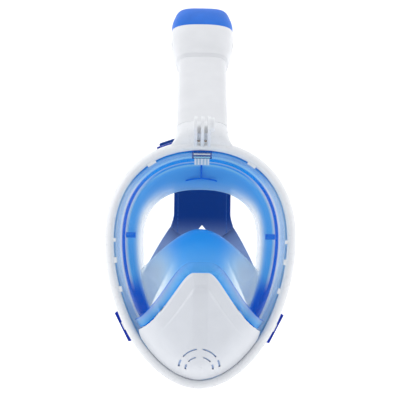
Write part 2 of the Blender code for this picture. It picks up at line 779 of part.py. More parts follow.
def inlet_duct():
    """The duct that brings the snorkel's air in behind the top of the lens."""
    shape, low, high = duct_way(0.0)
    made = prism("inlet_duct", shape, low, high, "blue_silicone")
    for side in (-1, 1):
        x0, x1 = sorted((side * 0.6 * MM, side * 8.2 * MM))
        shape = rectangle(x0, x1, -25.7 * MM, -20.9 * MM)
        way = prism(f"duct_bore_{side}", shape, low - THROUGH, high + THROUGH, "steel")
        combine(made, way, "DIFFERENCE")


def cut_duct(made):
    shape, low, high = duct_way(0.4 * MM)
    combine(made, prism("duct_way_" + made.name, shape, low, high, "steel"), "DIFFERENCE")


def air_deflector():
    """The T-shaped rib below the duct, moulded on the front of the skirt's brow."""
    turn = Matrix.Rotation(math.pi / 2.0, 4, "X")
    stem = rectangle(-0.9 * MM, 0.9 * MM, 57.6 * MM, 72.0 * MM)
    made = prism("air_deflector", stem, 0.4 * MM, 3.0 * MM, "blue_silicone", turn=turn)
    bar = []
    steps = 8
    for edge in (-0.8 * MM, 0.8 * MM):
        turns = range(-steps, steps + 1) if edge < 0.0 else range(steps, -steps - 1, -1)
        for step in turns:
            x = 15.0 * MM * step / steps
            bar.append((x, 58.2 * MM - 10.0 * x * x + edge))
    combine(made, prism("deflector_bar", bar, 0.5 * MM, 2.9 * MM, "blue_silicone", turn=turn), "UNION")


def pocket_posts():
    """The two studs that tie the skirt's sides to the nose pocket's wings."""
    for side, name in ((-1, "left"), (1, "right")):
        spot = place(side * 70.0 * MM, 4.0 * MM, -8.0 * MM)
        turn = Matrix.Translation(spot) @ Matrix.Rotation(-side * math.pi / 2.0, 4, "Y")
        prism("pocket_post_" + name, circle(2.6 * MM, 12), 0.0, 9.0 * MM, "blue_silicone", turn=turn)


# ---------------------------------------------------------------- the snorkel


def head_rows(levels):
    return [oval((wide * MM, deep * MM), power, level * MM) for level, wide, deep, power in levels]


def seam_row(offset):
    """A row beside the seam between head and cap, which slants down towards the front."""
    row = oval(SEAM_HALF, 2.6, SEAM_LEVEL + offset)
    for spot in row:
        spot.z += SEAM_SLANT * spot.y / SEAM_HALF[1]
    return row


def snorkel():
    at = empty_at("snorkel_foot", SNORKEL_FOOT, Matrix.Rotation(-SNORKEL_LEAN, 3, "X"))
    tube(at)
    socket_gasket(at)
    rows = head_rows(HEAD_ROWS) + [seam_row(0.0)]
    head = skin("dry_top_head", rows, "white_plastic", HEAD_WALL, parent=at)
    rows = [seam_row(SEAM_GAP)] + head_rows(CAP_ROWS)
    skin("dry_top_cap", rows, "blue_plastic", HEAD_WALL, middle=Vector((0.0, 0.0, CAP_TOP)), parent=at)
    for side, name in ((-1, "left"), (1, "right")):
        shape = rectangle(-6.0 * MM, 6.0 * MM, 130.0 * MM, 134.6 * MM)
        low, high = sorted((side * 20.0 * MM, side * 40.0 * MM))
        port = prism("exhaust_port_" + name, shape, low, high, "steel", at, SIDEWAYS)
        combine(head, port, "DIFFERENCE")
        line = Vector((side * 9.7 * MM, 0.0, TUBE_TOP + 0.4 * MM))
        hinge = empty_at("hinge_exhaust_" + name, line, Matrix.Identity(3), at)
        low, high = sorted((0.0, side * 10.0 * MM))
        shape = rectangle(low, high, -8.8 * MM, 8.8 * MM)
        prism("exhaust_flap_" + name, shape, 0.0, 0.8 * MM, "clear_silicone", hinge)
    for k in (-1, 0, 1):
        shape = rounded(1.6 * MM, 8.0 * MM, 1.5 * MM, (k * 8.0 * MM, 152.0 * MM), steps=2)
        slot = prism(f"inlet_slot_{k}", shape, 10.0 * MM, 30.0 * MM, "steel", at, UPRIGHT)
        combine(head, slot, "DIFFERENCE")
    dry_valve(at)


def tube(at):
    """The three-way tube: fresh air down the middle, used air up each side."""
    rows = [
        oval(SPIGOT_HALF, TUBE_POWER, -SPIGOT_LENGTH),
        oval(SPIGOT_HALF, TUBE_POWER, GAP + 0.1 * MM),
        oval(TUBE_HALF, TUBE_POWER, GAP + 0.1 * MM),
        oval(TUBE_HALF, TUBE_POWER, TUBE_TOP),
    ]
    made = loft("snorkel_tube", rows, "white_plastic", at)
    sides = (4.6 * MM, 7.8 * MM)
    ways = [("inhale_way", 0.0, (8.0 * MM, 8.8 * MM)), ("exhaust_way_left", -14.6 * MM, sides)]
    ways.append(("exhaust_way_right", 14.6 * MM, sides))
    for name, x, half in ways:
        shape = [oval(half, 3.0, z, 14, (x, 0.0)) for z in (-THROUGH, TUBE_TOP + THROUGH)]
        combine(made, loft(name, shape, "steel", at), "DIFFERENCE")


def socket_gasket(at):
    """The seal at the bottom of the socket, under the spigot."""
    levels = (-BORE_DEPTH + GAP, -SPIGOT_LENGTH - GAP)
    rows = [oval((21.2 * MM, 10.2 * MM), TUBE_POWER, z) for z in levels]
    seal = loft("socket_gasket", rows, "blue_silicone", at)
    rows = [oval((19.4 * MM, 8.4 * MM), TUBE_POWER, z) for z in (-20.0 * MM, 0.0)]
    combine(seal, loft("gasket_hole", rows, "steel", at), "DIFFERENCE")


def dry_valve(at):
    """The see-saw valve: a float on one arm lifts as water rises, and the other arm shuts the tube."""
    deck = [oval((29.3 * MM, 17.9 * MM), 2.7, VALVE_DECK + z * MM) for z in (0.0, 2.3)]
    seat = loft("valve_seat", deck, "white_plastic", at)
    chimney = [oval((8.9 * MM, 9.7 * MM), 3.0, z, 16) for z in (TUBE_TOP + 0.3 * MM, VALVE_DECK + 1.0 * MM)]
    combine(seat, loft("seat_chimney", chimney, "white_plastic", at), "UNION")
    pivot = Vector((11.5 * MM, 0.0, VALVE_DECK + 6.0 * MM))
    for side in (-1, 1):
        ear = rectangle(pivot.x - 2.2 * MM, pivot.x + 2.2 * MM, VALVE_DECK + 1.5 * MM, pivot.z + 2.2 * MM)
        low, high = sorted((side * 11.0 * MM, side * 13.0 * MM))
        combine(seat, prism(f"seat_ear_{side}", ear, low, high, "white_plastic", at, UPRIGHT), "UNION")
    hole = [oval((7.6 * MM, 8.4 * MM), 3.0, z * MM, 16) for z in (120.0, 140.0)]
    combine(seat, loft("seat_hole", hole, "steel", at), "DIFFERENCE")
    centre = (pivot.x, pivot.z)
    bore = prism("ear_bore", circle(1.2 * MM, 10, centre), -THROUGH, THROUGH, "steel", at, UPRIGHT)
    combine(seat, bore, "DIFFERENCE")
    prism("lever_pin", circle(0.9 * MM, 10, centre), -13.6 * MM, 13.6 * MM, "steel", at, UPRIGHT)
    lever_at = empty_at("hinge_lever", pivot, Matrix.Rotation(math.radians(13.0), 3, "Y"), at)
    arm = rectangle(-20.5 * MM, 9.5 * MM, -0.9 * MM, 1.5 * MM)
    lever = prism("valve_lever", arm, -5.0 * MM, 5.0 * MM, "white_plastic", lever_at, UPRIGHT)
    hub = prism("lever_hub", circle(2.4 * MM, 12), -10.5 * MM, 10.5 * MM, "white_plastic", lever_at, UPRIGHT)
    combine(lever, hub, "UNION")
    hub_bore = prism("hub_bore", circle(1.2 * MM, 10), -THROUGH, THROUGH, "steel", lever_at, UPRIGHT)
    combine(lever, hub_bore, "DIFFERENCE")
    rows = [oval((9.0 * MM, 9.8 * MM), 2.6, z * MM, 16, (-11.5 * MM, 0.0)) for z in (-3.2, -1.3)]
    loft("seal_disc", rows, "blue_silicone", lever_at)
    shape = rounded(3.6 * MM, 10.0 * MM, 1.6 * MM, (6.8 * MM, 0.0), steps=2)
    prism("float_block", shape, 1.8 * MM, 18.0 * MM, "white_foam", lever_at)


# ---------------------------------------------------------------- the harness


def clip_frames():
    """For each clip: its name, its hinge's place and direction, its width and its lean.

    Local X runs along the frame's edge, Y back past the head and Z outwards.
    """
    points = outline()
    found = []
    for name, side, share, width, inset, lean in CLIPS:
        k = round(share * DENSE / 2)
        k = k if side > 0 else DENSE - k
        normal = inward(points, k)
        spot = points[k] + normal * inset
        hinge = place(spot.x, spot.y, -(10.4 * MM + KNUCKLE_RADIUS + 0.6 * MM))
        before, after = points[k - 8], points[(k + 8) % DENSE]
        along = (place(after.x, after.y, 0.0) - place(before.x, before.y, 0.0)).normalized()
        out = along.cross(Vector((0.0, 1.0, 0.0))).normalized()
        back = out.cross(along)
        turn = Matrix((along, back, out)).transposed().to_4x4()
        found.append((name, Matrix.Translation(hinge) @ turn, width, math.radians(lean)))
    return found


def clips():
    """The clips: each a plate with a strap slot, two knuckles, and a bridge over its lug."""
    for name, turn, width, lean in clip_frames():
        tilted = turn.to_3x3() @ Matrix.Rotation(lean, 3, "X")
        at = empty_at("hinge_clip_" + name, turn.translation, tilted)
        half = width / 2.0
        shape = rounded(half, CLIP_LENGTH / 2.0, 3.0 * MM, (0.0, CLIP_LENGTH / 2.0 - 2.0 * MM), steps=3)
        clip = prism("clip_" + name, shape, CLIP_TOP - CLIP_WALL, CLIP_TOP, "blue_plastic", at)
        shape, end = circle(KNUCKLE_RADIUS, 12), half - 0.5 * MM
        combine(clip, prism("barrel_" + name, shape, -end, end, "steel", at, ALONG_X), "UNION")
        reach, gap = KNUCKLE_RADIUS * 1.4, LUG_HALF_WIDTH + 0.5 * MM
        shape = rectangle(-CLIP_TOP - 1.0 * MM, 9.0 * MM, -reach, reach)
        combine(clip, prism("relief_" + name, shape, -gap, gap, "steel", at, ALONG_X), "DIFFERENCE")
        shape = circle(PIN_RADIUS + GAP, 10)
        bore = prism("clip_bore_" + name, shape, -THROUGH, THROUGH, "steel", at, ALONG_X)
        combine(clip, bore, "DIFFERENCE")
        shape = rounded(half - 3.4 * MM, 2.3 * MM, 1.0 * MM, (0.0, CLIP_LENGTH - 8.6 * MM), steps=2)
        combine(clip, prism("strap_slot_" + name, shape, -5.0 * MM, 9.0 * MM, "steel", at), "DIFFERENCE")
        shape = rounded(half - 0.6 * MM, 3.2 * MM, 1.2 * MM, (0.0, 1.6 * MM), steps=2)
        low, high = CLIP_TOP - 0.1 * MM, CLIP_TOP + CLIP_BRIDGE
        combine(clip, prism("bridge_" + name, shape, low, high, "blue_plastic", at), "UNION")
        shape, end = circle(PIN_RADIUS, 10), half - 0.8 * MM
        prism("clip_pin_" + name, shape, -end, end, "steel", turn=turn @ ALONG_X)


def pad_depth(x, z):
    """The pad's middle surface: a shallow cup behind the head."""
    return PAD_Y - 6.0 * x * x - 2.2 * (z - 45.0 * MM) ** 2


def harness_pad():
    """The pad: a wide band that forks into the roots of the two lower straps."""
    half = PAD_HALF_WIDTH
    right = [(0.0, PAD_TOP), (24.0 * MM, PAD_TOP), (half, PAD_TOP - 5.0 * MM), (half, 44.0 * MM)]
    right += [(half, 22.0 * MM), (half + 5.0 * MM, 12.0 * MM), (half - 15.0 * MM, -4.0 * MM)]
    right += [(5.0 * MM, 6.0 * MM), (0.0, PAD_NOTCH)]
    left = [(-x, z) for x, z in reversed(right[1:-1])]
    shape = right + left
    hubs = [(0.0, 44.0 * MM), (0.0, 22.0 * MM)]
    spots = []
    for flat in (shape, hubs):
        for face in (-PAD_THICKNESS / 2.0, PAD_THICKNESS / 2.0):
            spots += [Vector((x + PAD_SHIFT, pad_depth(x, z) + face, z)) for x, z in flat]
    size = len(shape)
    faces = [(k, (k + 1) % size, size + (k + 1) % size, size + k) for k in range(size)]
    for side in (0, 1):
        base, high, low = side * size, 2 * (size + side), 2 * (size + side) + 1
        for k in range(size):
            hub = high if min(k, size - 1 - k) < 3 else low
            faces.append((base + k, base + (k + 1) % size, hub))
        faces += [(base + 3, high, low), (base + size - 3, high, low)]
    object_of("harness_pad", spots, faces, "navy_elastic")


def straps():
    """The four straps, each a ribbon from the pad's edge to just short of its clip's slot."""
    for name, turn, width, lean in clip_frames():
        side = 1.0 if "right" in name else -1.0
        tilted = turn @ Matrix.Rotation(lean, 4, "X")
        end = tilted @ Vector((0.0, CLIP_LENGTH + 3.0 * MM, KNUCKLE_RADIUS - 0.9 * MM))
        end_across = tilted.to_3x3() @ Vector((1.0, 0.0, 0.0))
        if "upper" in name:
            x, z = side * 16.0 * MM, PAD_TOP + 1.5 * MM
            pull = Vector((0.0, -4.0 * MM, 26.0 * MM))
            start_across = Vector((1.0, 0.0, 0.0))
            half = 8.0 * MM
        else:
            x, z = side * (PAD_HALF_WIDTH - 4.4 * MM), 1.6 * MM
            pull = Vector((side * 20.0 * MM, -4.0 * MM, -24.0 * MM))
            start_across = Vector((20.0, 0.0, 16.0 * side)).normalized()
            half = 11.5 * MM
        start = Vector((x + PAD_SHIFT, pad_depth(x, z), z))
        if end_across.dot(start_across) < 0.0:
            end_across.negate()
        reach = tilted.to_3x3() @ Vector((0.0, 26.0 * MM, 0.0))
        rows = []
        steps = 9
        for step in range(steps + 1):
            t = step / steps
            spot = bezier(start, start + pull, end + reach, end, t)
            ahead = bezier(start, start + pull, end + reach, end, min(t + 0.01, 1.0))
            behind = bezier(start, start + pull, end + reach, end, max(t - 0.01, 0.0))
            across = start_across.lerp(end_across, ease(0.0, 1.0, t)).normalized()
            face = (ahead - behind).cross(across).normalized() * STRAP_THICKNESS / 2.0
            across = face.cross(ahead - behind).normalized() * half
            sides = (across + face, face - across, -across - face, across - face)
            rows.append([spot + side for side in sides])
        loft("strap_" + name, rows, "navy_elastic")


# ---------------------------------------------------------------- the whole mask


def main():
    for old in list(bpy.data.objects):
        bpy.data.objects.remove(old)
    front_frame()
    rear_frame()
    perimeter_gasket()
    lens()
    face_skirt()
    nose_pocket()
    purge_valve()
    chin_cover()
    inlet_duct()
    air_deflector()
    pocket_posts()
    snorkel()
    clips()
    harness_pad()
    straps()


main()
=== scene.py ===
"""The looks of the full-face snorkel mask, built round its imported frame.

Metres, +Z up. The lens faces -Y and the wearer's head is on the +Y side. A place on a ring of the mask
is given by its inset from the frame's egg-shaped outline and by its height in front of the frame's bent
plane, as in the CAD source.
"""

import math

import bmesh
import bpy
import numpy as np
from mathutils import Matrix, Vector
from mathutils.bvhtree import BVHTree


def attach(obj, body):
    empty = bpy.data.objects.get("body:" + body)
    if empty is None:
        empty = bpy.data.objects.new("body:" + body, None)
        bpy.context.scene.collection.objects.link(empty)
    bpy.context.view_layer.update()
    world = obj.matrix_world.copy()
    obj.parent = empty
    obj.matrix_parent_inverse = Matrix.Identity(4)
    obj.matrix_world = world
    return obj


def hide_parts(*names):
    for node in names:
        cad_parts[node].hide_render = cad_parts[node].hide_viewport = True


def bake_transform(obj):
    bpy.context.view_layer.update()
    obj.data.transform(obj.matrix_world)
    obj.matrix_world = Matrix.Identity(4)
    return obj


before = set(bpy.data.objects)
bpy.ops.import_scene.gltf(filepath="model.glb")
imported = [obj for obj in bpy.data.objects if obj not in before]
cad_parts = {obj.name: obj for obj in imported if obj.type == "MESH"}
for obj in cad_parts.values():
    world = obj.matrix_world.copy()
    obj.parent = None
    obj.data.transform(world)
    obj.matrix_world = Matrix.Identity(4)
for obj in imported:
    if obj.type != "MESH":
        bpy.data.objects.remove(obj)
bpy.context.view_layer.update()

MM = 0.001
BODY = "mask"
SHARP = math.radians(35.0)

# The frame's outline and its bent plane.
FRAME_HALF_WIDTH = 90.0 * MM
FRAME_TOP = 92.7 * MM
FRAME_BOTTOM = 137.6 * MM
TOP_POWER = 2.2
BOTTOM_POWER = 1.88
FRAME_Y = -30.0 * MM
SIDE_BEND = 2.2
END_BEND = 0.5
BEND_CENTRE_Z = -20.0 * MM
DENSE = 1440

# The face seal's opening and the nose pocket.
OPENING = (54.8 * MM, 47.8 * MM, 98.0 * MM, 2.4, 2.2)
POCKET_LAP = 3.0 * MM
ARCH_PEAK_Z = 9.5 * MM
ARCH_ROUND = 37.0 * MM
ARCH_SLOPE = 1.2

# Lens and chin cover.
LENS_WALL = 2.0 * MM
LENS_CENTRE_Z = -8.0 * MM
LENS_CROWN = 38.0 * MM
NOSE_BULGE = 12.0 * MM
LENS_RIM = [
    (5.7, 1.0), (9.5, 1.0), (11.1, 2.6), (12.2, 7.0), (13.4, 13.0), (15.2, 19.0), (19.0, 24.5), (28.0, 29.0),
]
COVER_WALL = 1.6 * MM
COVER_INSET = 10.2 * MM
COVER_FOOT = 4.4 * MM
COVER_ROUND = 34.0 * MM
COVER_RIDGE = 55.0 * MM
COVER_FLANK = 17.0 * MM
COVER_FLAT = 0.12
COVER_CORNER = 4.2 * MM
COVER_EDGE = [(6.5, -25.6), (17.0, -28.0), (27.0, -60.0), (55.1, -81.9)]

# Snorkel.
SNORKEL_FOOT = Vector((0.0, -15.8 * MM, 101.2 * MM))
SNORKEL_LEAN = math.radians(45.0)
SNORKEL = Matrix.Translation(SNORKEL_FOOT) @ Matrix.Rotation(-SNORKEL_LEAN, 4, "X")
TUBE_HALF = (24.0 * MM, 13.0 * MM)
TUBE_POWER = 3.4
CROWN_HALF_WIDTH = 33.5 * MM
HEAD_ROWS = [
    (105.0, 25.4, 14.4, 3.4),
    (110.0, 26.4, 15.4, 3.2),
    (118.0, 28.2, 17.4, 2.9),
    (130.0, 30.4, 19.2, 2.7),
    (143.0, 31.4, 20.0, 2.6),
]
CAP_ROWS = [
    (174.0, 29.2, 18.6, 3.0),
    (179.5, 27.4, 17.0, 3.4),
    (184.4, 24.4, 13.4, 3.8),
    (186.8, 17.5, 8.4, 3.6),
]
CAP_TOP = 187.6 * MM
HEAD_WALL = 1.8 * MM
SEAM_LEVEL = 159.0 * MM
SEAM_HALF = (31.2 * MM, 20.0 * MM)
SEAM_SLANT = 13.5 * MM
SIDEWAYS = Matrix(((0.0, 0.0, 1.0), (1.0, 0.0, 0.0), (0.0, 1.0, 0.0))).to_4x4()
BACKWARDS = Matrix(((1.0, 0.0, 0.0), (0.0, 0.0, 1.0), (0.0, 1.0, 0.0))).to_4x4()

# Camera mount.
PRONG_WIDTH = 3.2 * MM
PRONG_PITCH = 6.2 * MM
PRONG_RADIUS = 7.3 * MM
PRONG_ROOT = Vector((0.0, -27.0 * MM, 92.0 * MM))
PRONG_TIP = Vector((0.0, -43.0 * MM, 106.5 * MM))
PRONG_ALONG = (PRONG_ROOT - PRONG_TIP).normalized()
PRONG_SIDE = Vector((0.0, -PRONG_ALONG.z, PRONG_ALONG.y))
PRONG_BORE = 2.6 * MM
NUT_RADIUS = 4.6 * MM

# Harness.
PAD_Y = 80.0 * MM
PAD_HALF_WIDTH = 29.0 * MM
PAD_TOP = 74.0 * MM
PAD_FOOT = ((0.0, 0.15, 0.42, 1.0), (12.0, 6.0, -4.0, 10.0))
PAD_THICKNESS = 3.0 * MM
PAD_SHIFT = 2.5 * MM
STITCH_LINE = 25.5 * MM
THREAD = (0.05, 0.16, 0.55)
CLIP_LENGTH = 27.0 * MM
CLIP_WALL = 2.6 * MM
KNUCKLE_RADIUS = 3.0 * MM
LUG_HALF_WIDTH = 4.0 * MM
CLIP_TOP = KNUCKLE_RADIUS + 0.4 * MM
ALONG_X = Matrix(((0.0, 0.0, 1.0), (0.0, 1.0, 0.0), (-1.0, 0.0, 0.0))).to_4x4()
STRAP_THICKNESS = 1.5 * MM
# The strap's end (back, out) in its clip's frame: in through the slot, and folded back.
STRAP_TAIL = [
    (32.0, 0.0), (26.0, -0.5), (21.5, -0.5), (19.4, -0.1), (18.4, 1.2), (18.4, 3.0),
    (19.4, 4.4), (21.5, 4.8), (26.0, 4.8), (32.0, 4.0), (40.0, 3.6),
]
# Each clip: its side, its place round the outline, its width, its inset and its lean in degrees.
CLIPS = {
    "upper_left": (-1, 0.106, 18.0 * MM, 3.0 * MM, 9.0),
    "upper_right": (1, 0.112, 18.0 * MM, 5.4 * MM, -8.0),
    "lower_left": (-1, 0.712, 31.0 * MM, 0.8 * MM, 0.0),
    "lower_right": (1, 0.712, 31.0 * MM, 0.8 * MM, 0.0),
}

# The skirt, and the tones of everything that shows through the lens.
NAVY = (0.000, 0.060, 0.420)
DEEP = (0.000, 0.200, 0.860)
AZURE = (0.004, 0.430, 1.000)
MID = (0.150, 0.580, 1.000)
GREY_BLUE = (0.130, 0.520, 0.960)
PALE = (0.600, 0.850, 1.000)
LIGHT = (0.400, 0.800, 1.000)
CLOUD = (0.640, 0.820, 1.000)
WHITE = (1.000, 1.000, 1.000)
BAFFLE = (0.560, 0.700, 0.920)
# CLOUD from inset 9.4 to 12.5 is a painted reflection of the lens's steep wall in front. WHITE from 12.8 to
# 14.3, LIGHT at the top, is a painted highlight line of the lens's shoulder. WHITE and PALE at 18.2 are a
# painted highlight line standing for a rib's edge. DEEP from 14.6 to 17.8 is partly the silicone's thickness
# and partly painted shade in the channel.
SKIRT_WALLS = [
    (5.7, -3.4, MID, DEEP), (9.0, -3.4, MID, DEEP), (9.4, -3.6, CLOUD, AZURE), (10.8, -10.0, CLOUD, MID),
    (12.5, -18.2, CLOUD, MID), (12.8, -18.8, WHITE, LIGHT), (14.3, -21.8, WHITE, LIGHT),
    (14.6, -22.2, DEEP, AZURE), (17.8, -25.3, DEEP, AZURE), (18.2, -25.4, WHITE, PALE),
    (20.4, -25.3, PALE, AZURE), (20.8, -25.4, MID, LIGHT), (22.8, -26.8, MID, MID),
]
SKIRT_LIP = [(0.2, -27.8), (0.4, -28.7), (0.6, -29.3), (0.8, -29.6), (0.92, -29.5), (1.0, -28.9)]

# The floor's profile (y, z), and the sky's stops from front to back.
FLOOR = [(-30.0, -0.55), (1.0, -0.55), (1.5, -0.5), (2.0, -0.3), (2.4, 0.1), (2.6, 0.8), (2.6, 4.0)]
SKY = [(0.0, (0.17, 0.18, 0.21)), (0.3, (0.54, 0.55, 0.58)), (0.7, (0.98, 0.985, 0.995))]

# The photograph's camera: its distance in front of the frame's plane, and the width that it takes in there.
CAMERA_DISTANCE = 0.85
CAMERA_WIDTH = 0.3684
CAMERA_SIDE = -11.2 * MM
CAMERA_AIM = (-1.2 * MM, 37.8 * MM)
CAMERA_ROLL = math.radians(0.85)


# Curves and places.


def ease(low, high, value):
    """0 at low and 1 at high, smooth between them."""
    t = min(max((value - low) / (high - low), 0.0), 1.0)
    return t * t * (3.0 - 2.0 * t)


def fade(low, high, length):
    """0 at low and 1 at high, both in millimetres."""
    return ease(low * MM, high * MM, length)


def mix(a, b, t):
    return tuple(x + (y - x) * t for x, y in zip(a, b))


def bezier(a, b, c, d, t):
    s = 1.0 - t
    return a * s**3 + b * 3.0 * s * s * t + c * 3.0 * s * t * t + d * t**3


def evenly(points, count):
    """count points spaced evenly round a closed line."""
    lengths = [0.0]
    for here, there in zip(points, points[1:] + points[:1]):
        lengths.append(lengths[-1] + (there - here).length)
    found, k = [], 0
    for step in range(count):
        want = lengths[-1] * step / count
        while lengths[k + 1] < want:
            k += 1
        share = (want - lengths[k]) / (lengths[k + 1] - lengths[k])
        found.append(points[k].lerp(points[(k + 1) % len(points)], share))
    return found


def bulge(half, value, power):
    return math.copysign(half * abs(value) ** (2.0 / power), value)


def egg(half_width, top, bottom, top_power, bottom_power, count=DENSE):
    """Points (x, z) round an egg, from its top and towards +X first."""
    points = []
    for step in range(DENSE):
        angle = math.tau * step / DENSE
        across, up = math.sin(angle), math.cos(angle)
        power, height = (top_power, top) if up >= 0.0 else (bottom_power, bottom)
        points.append(Vector((bulge(half_width, across, power), bulge(height, up, power))))
    return evenly(points, count)


OUTLINE = egg(FRAME_HALF_WIDTH, FRAME_TOP, FRAME_BOTTOM, TOP_POWER, BOTTOM_POWER)
OUTLINE_ARRAY = np.array([tuple(p) for p in OUTLINE])


def outline(count):
    return evenly(OUTLINE, count)


def inward(points, k):
    """The normal at point k of a closed line that runs from the top towards +X, pointing inwards."""
    along = points[(k + 1) % len(points)] - points[k - 1]
    return Vector((along.y, -along.x)).normalized()


def inset_at(spot):
    """How far a spot lies inside the outline."""
    return float(np.sqrt(((OUTLINE_ARRAY - np.array(tuple(spot))) ** 2).sum(axis=1).min()))


def bend(x, z):
    return SIDE_BEND * x * x + END_BEND * (z - BEND_CENTRE_Z) ** 2


def place(x, z, height):
    """A point at (x, z), that height in front of the frame's bent plane."""
    return Vector((x, FRAME_Y - height + bend(x, z), z))


def lens_rim_row(points, k, row):
    """One of the lens's rim rows: its wall draws in and sinks where the chin cover stands over it."""
    inset, height = LENS_RIM[row]
    inset, height = inset * MM, height * MM
    z = points[k].y
    if row > 1:
        inset += 4.5 * MM * fade(-20.0, -85.0, z)
        height *= 1.0 - 0.55 * fade(-78.0, -108.0, z)
    return points[k] + inward(points, k) * inset, height


def nose_bulge(x, z):
    """How far the lens swells over the nose, from its bridge down to the lips."""
    fore = fade(14.0, -34.0, z) * (1.0 - fade(-66.0, -96.0, z))
    wide = 24.0 * MM + 20.0 * MM * fade(-10.0, -80.0, z)
    return NOSE_BULGE * fore * (1.0 - ease(4.0 * MM, wide, abs(x)))


def lens_place(points, k, share):
    """A point of the lens between its last rim row (share 1) and its middle (share 0)."""
    rim, height = lens_rim_row(points, k, len(LENS_RIM) - 1)
    spot = Vector((0.0, LENS_CENTRE_Z)).lerp(rim, share)
    swell = nose_bulge(spot.x, spot.y)
    return place(spot.x, spot.y, height + (LENS_CROWN - height) * (1.0 - share * share) + swell)


def arch_height(x):
    """The nose pocket's arch: a hyperbola with its peak over the nose's bridge."""
    return ARCH_PEAK_Z + ARCH_ROUND - math.hypot(ARCH_ROUND, ARCH_SLOPE * x)


# Materials.


def shader_of(name, base=(0.8, 0.8, 0.8), roughness=0.4, **sockets):
    """A material with a Principled shader, and that shader."""
    made = bpy.data.materials.new(name)
    made.use_nodes = True
    shader = made.node_tree.nodes["Principled BSDF"]
    shader.inputs["Base Color"].default_value = (*base, 1.0)
    shader.inputs["Roughness"].default_value = roughness
    for socket, value in sockets.items():
        shader.inputs[socket.replace("_", " ")].default_value = value
    return made, shader


def add(material, kind, **values):
    node = material.node_tree.nodes.new(kind)
    for name, value in values.items():
        if name in node.inputs:
            node.inputs[name].default_value = value
        else:
            setattr(node, name, value)
    return node


def link(material, source, target):
    """Sets a socket to a number or a colour, or links another node's output to it."""
    if isinstance(source, (float, tuple)):
        target.default_value = source
    else:
        material.node_tree.links.new(source, target)


def math_node(material, operation, *values):
    node = add(material, "ShaderNodeMath", operation=operation)
    for value, socket in zip(values, node.inputs):
        link(material, value, socket)
    return node.outputs[0]


def mix_shaders(material, share, first, second):
    node = add(material, "ShaderNodeMixShader")
    for value, socket in zip((share, first, second), node.inputs):
        link(material, value, socket)
    return node.outputs[0]


def mix_colours(material, kind, share, first, second):
    node = add(material, "ShaderNodeMix", data_type="RGBA", blend_type=kind)
    link(material, share, node.inputs["Factor"])
    link(material, first, node.inputs["A"])
    link(material, second, node.inputs["B"])
    return node.outputs["Result"]


def mapped(material, value, **ends):
    """A value taken from one range to another."""
    node = add(material, "ShaderNodeMapRange")
    for end, number in ends.items():
        node.inputs[end.replace("_", " ")].default_value = number
    link(material, value, node.inputs["Value"])
    return node.outputs["Result"]


def coordinate(material, kind, axis):
    parts = add(material, "ShaderNodeSeparateXYZ")
    link(material, add(material, "ShaderNodeTexCoord").outputs[kind], parts.inputs["Vector"])
    return parts.outputs[axis]


def attribute(material, name):
    """A colour or a number that the mesh carries."""
    return add(material, "ShaderNodeAttribute", attribute_name=name)


def surface(material, shader):
    link(material, shader, material.node_tree.nodes["Material Output"].inputs["Surface"])


def ramp(material, source, stops):
    """A colour ramp through (position, colour) stops, and its colour."""
    node = add(material, "ShaderNodeValToRGB")
    elements = node.color_ramp.elements
    while len(elements) < len(stops):
        elements.new(0.5)
    for element, (position, colour) in zip(elements, stops):
        element.position = position
        element.color = (*colour, 1.0)
    link(material, source, node.inputs["Fac"])
    return node.outputs["Color"]


def noise(material, scale, detail=3.0):
    """Noise in the object's own coordinates."""
    where = add(material, "ShaderNodeTexCoord")
    node = add(material, "ShaderNodeTexNoise", Scale=scale, Detail=detail)
    link(material, where.outputs["Object"], node.inputs["Vector"])
    return node.outputs["Fac"]


def bump(material, shader, height, distance, strength=1.0):
    node = add(material, "ShaderNodeBump", Strength=strength, Distance=distance)
    link(material, height, node.inputs["Height"])
    link(material, node.outputs["Normal"], shader.inputs["Normal"])


def moulded(name, low, high, roughness, grain=0.00004, coat=0.3, **sockets):
    """Moulded plastic: a slight mottle in its colour, a fine skin texture and a soft gloss."""
    made, shader = shader_of(name, high, roughness, Coat_Weight=coat, Coat_Roughness=0.12, **sockets)
    link(made, ramp(made, noise(made, 60.0), [(0.3, low), (0.7, high)]), shader.inputs["Base Color"])
    gloss = mapped(made, noise(made, 240.0), To_Min=roughness - 0.04, To_Max=roughness + 0.05)
    link(made, gloss, shader.inputs["Roughness"])
    bump(made, shader, noise(made, 2600.0), grain)
    return made


def grained(name, base, roughness, scale, depth, **sockets):
    """One colour with a fine surface grain."""
    made, shader = shader_of(name, base, roughness, **sockets)
    bump(made, shader, noise(made, scale), depth)
    return made, shader


def silicone(name):
    """Translucent silicone, lit from both sides. Its tone and its opacity come from the mesh."""
    made, shader = grained(name, (0.1, 0.4, 0.9), 0.32, 900.0, 0.00003, Specular_IOR_Level=0.12)
    tone = attribute(made, "tone").outputs["Color"]
    link(made, tone, shader.inputs["Base Color"])
    glow = add(made, "ShaderNodeBsdfTranslucent")
    link(made, tone, glow.inputs["Color"])
    body = mix_shaders(made, 0.30, shader.outputs[0], glow.outputs[0])
    nothing = add(made, "ShaderNodeBsdfTransparent").outputs[0]
    surface(made, mix_shaders(made, attribute(made, "opacity").outputs["Fac"], nothing, body))
    return made


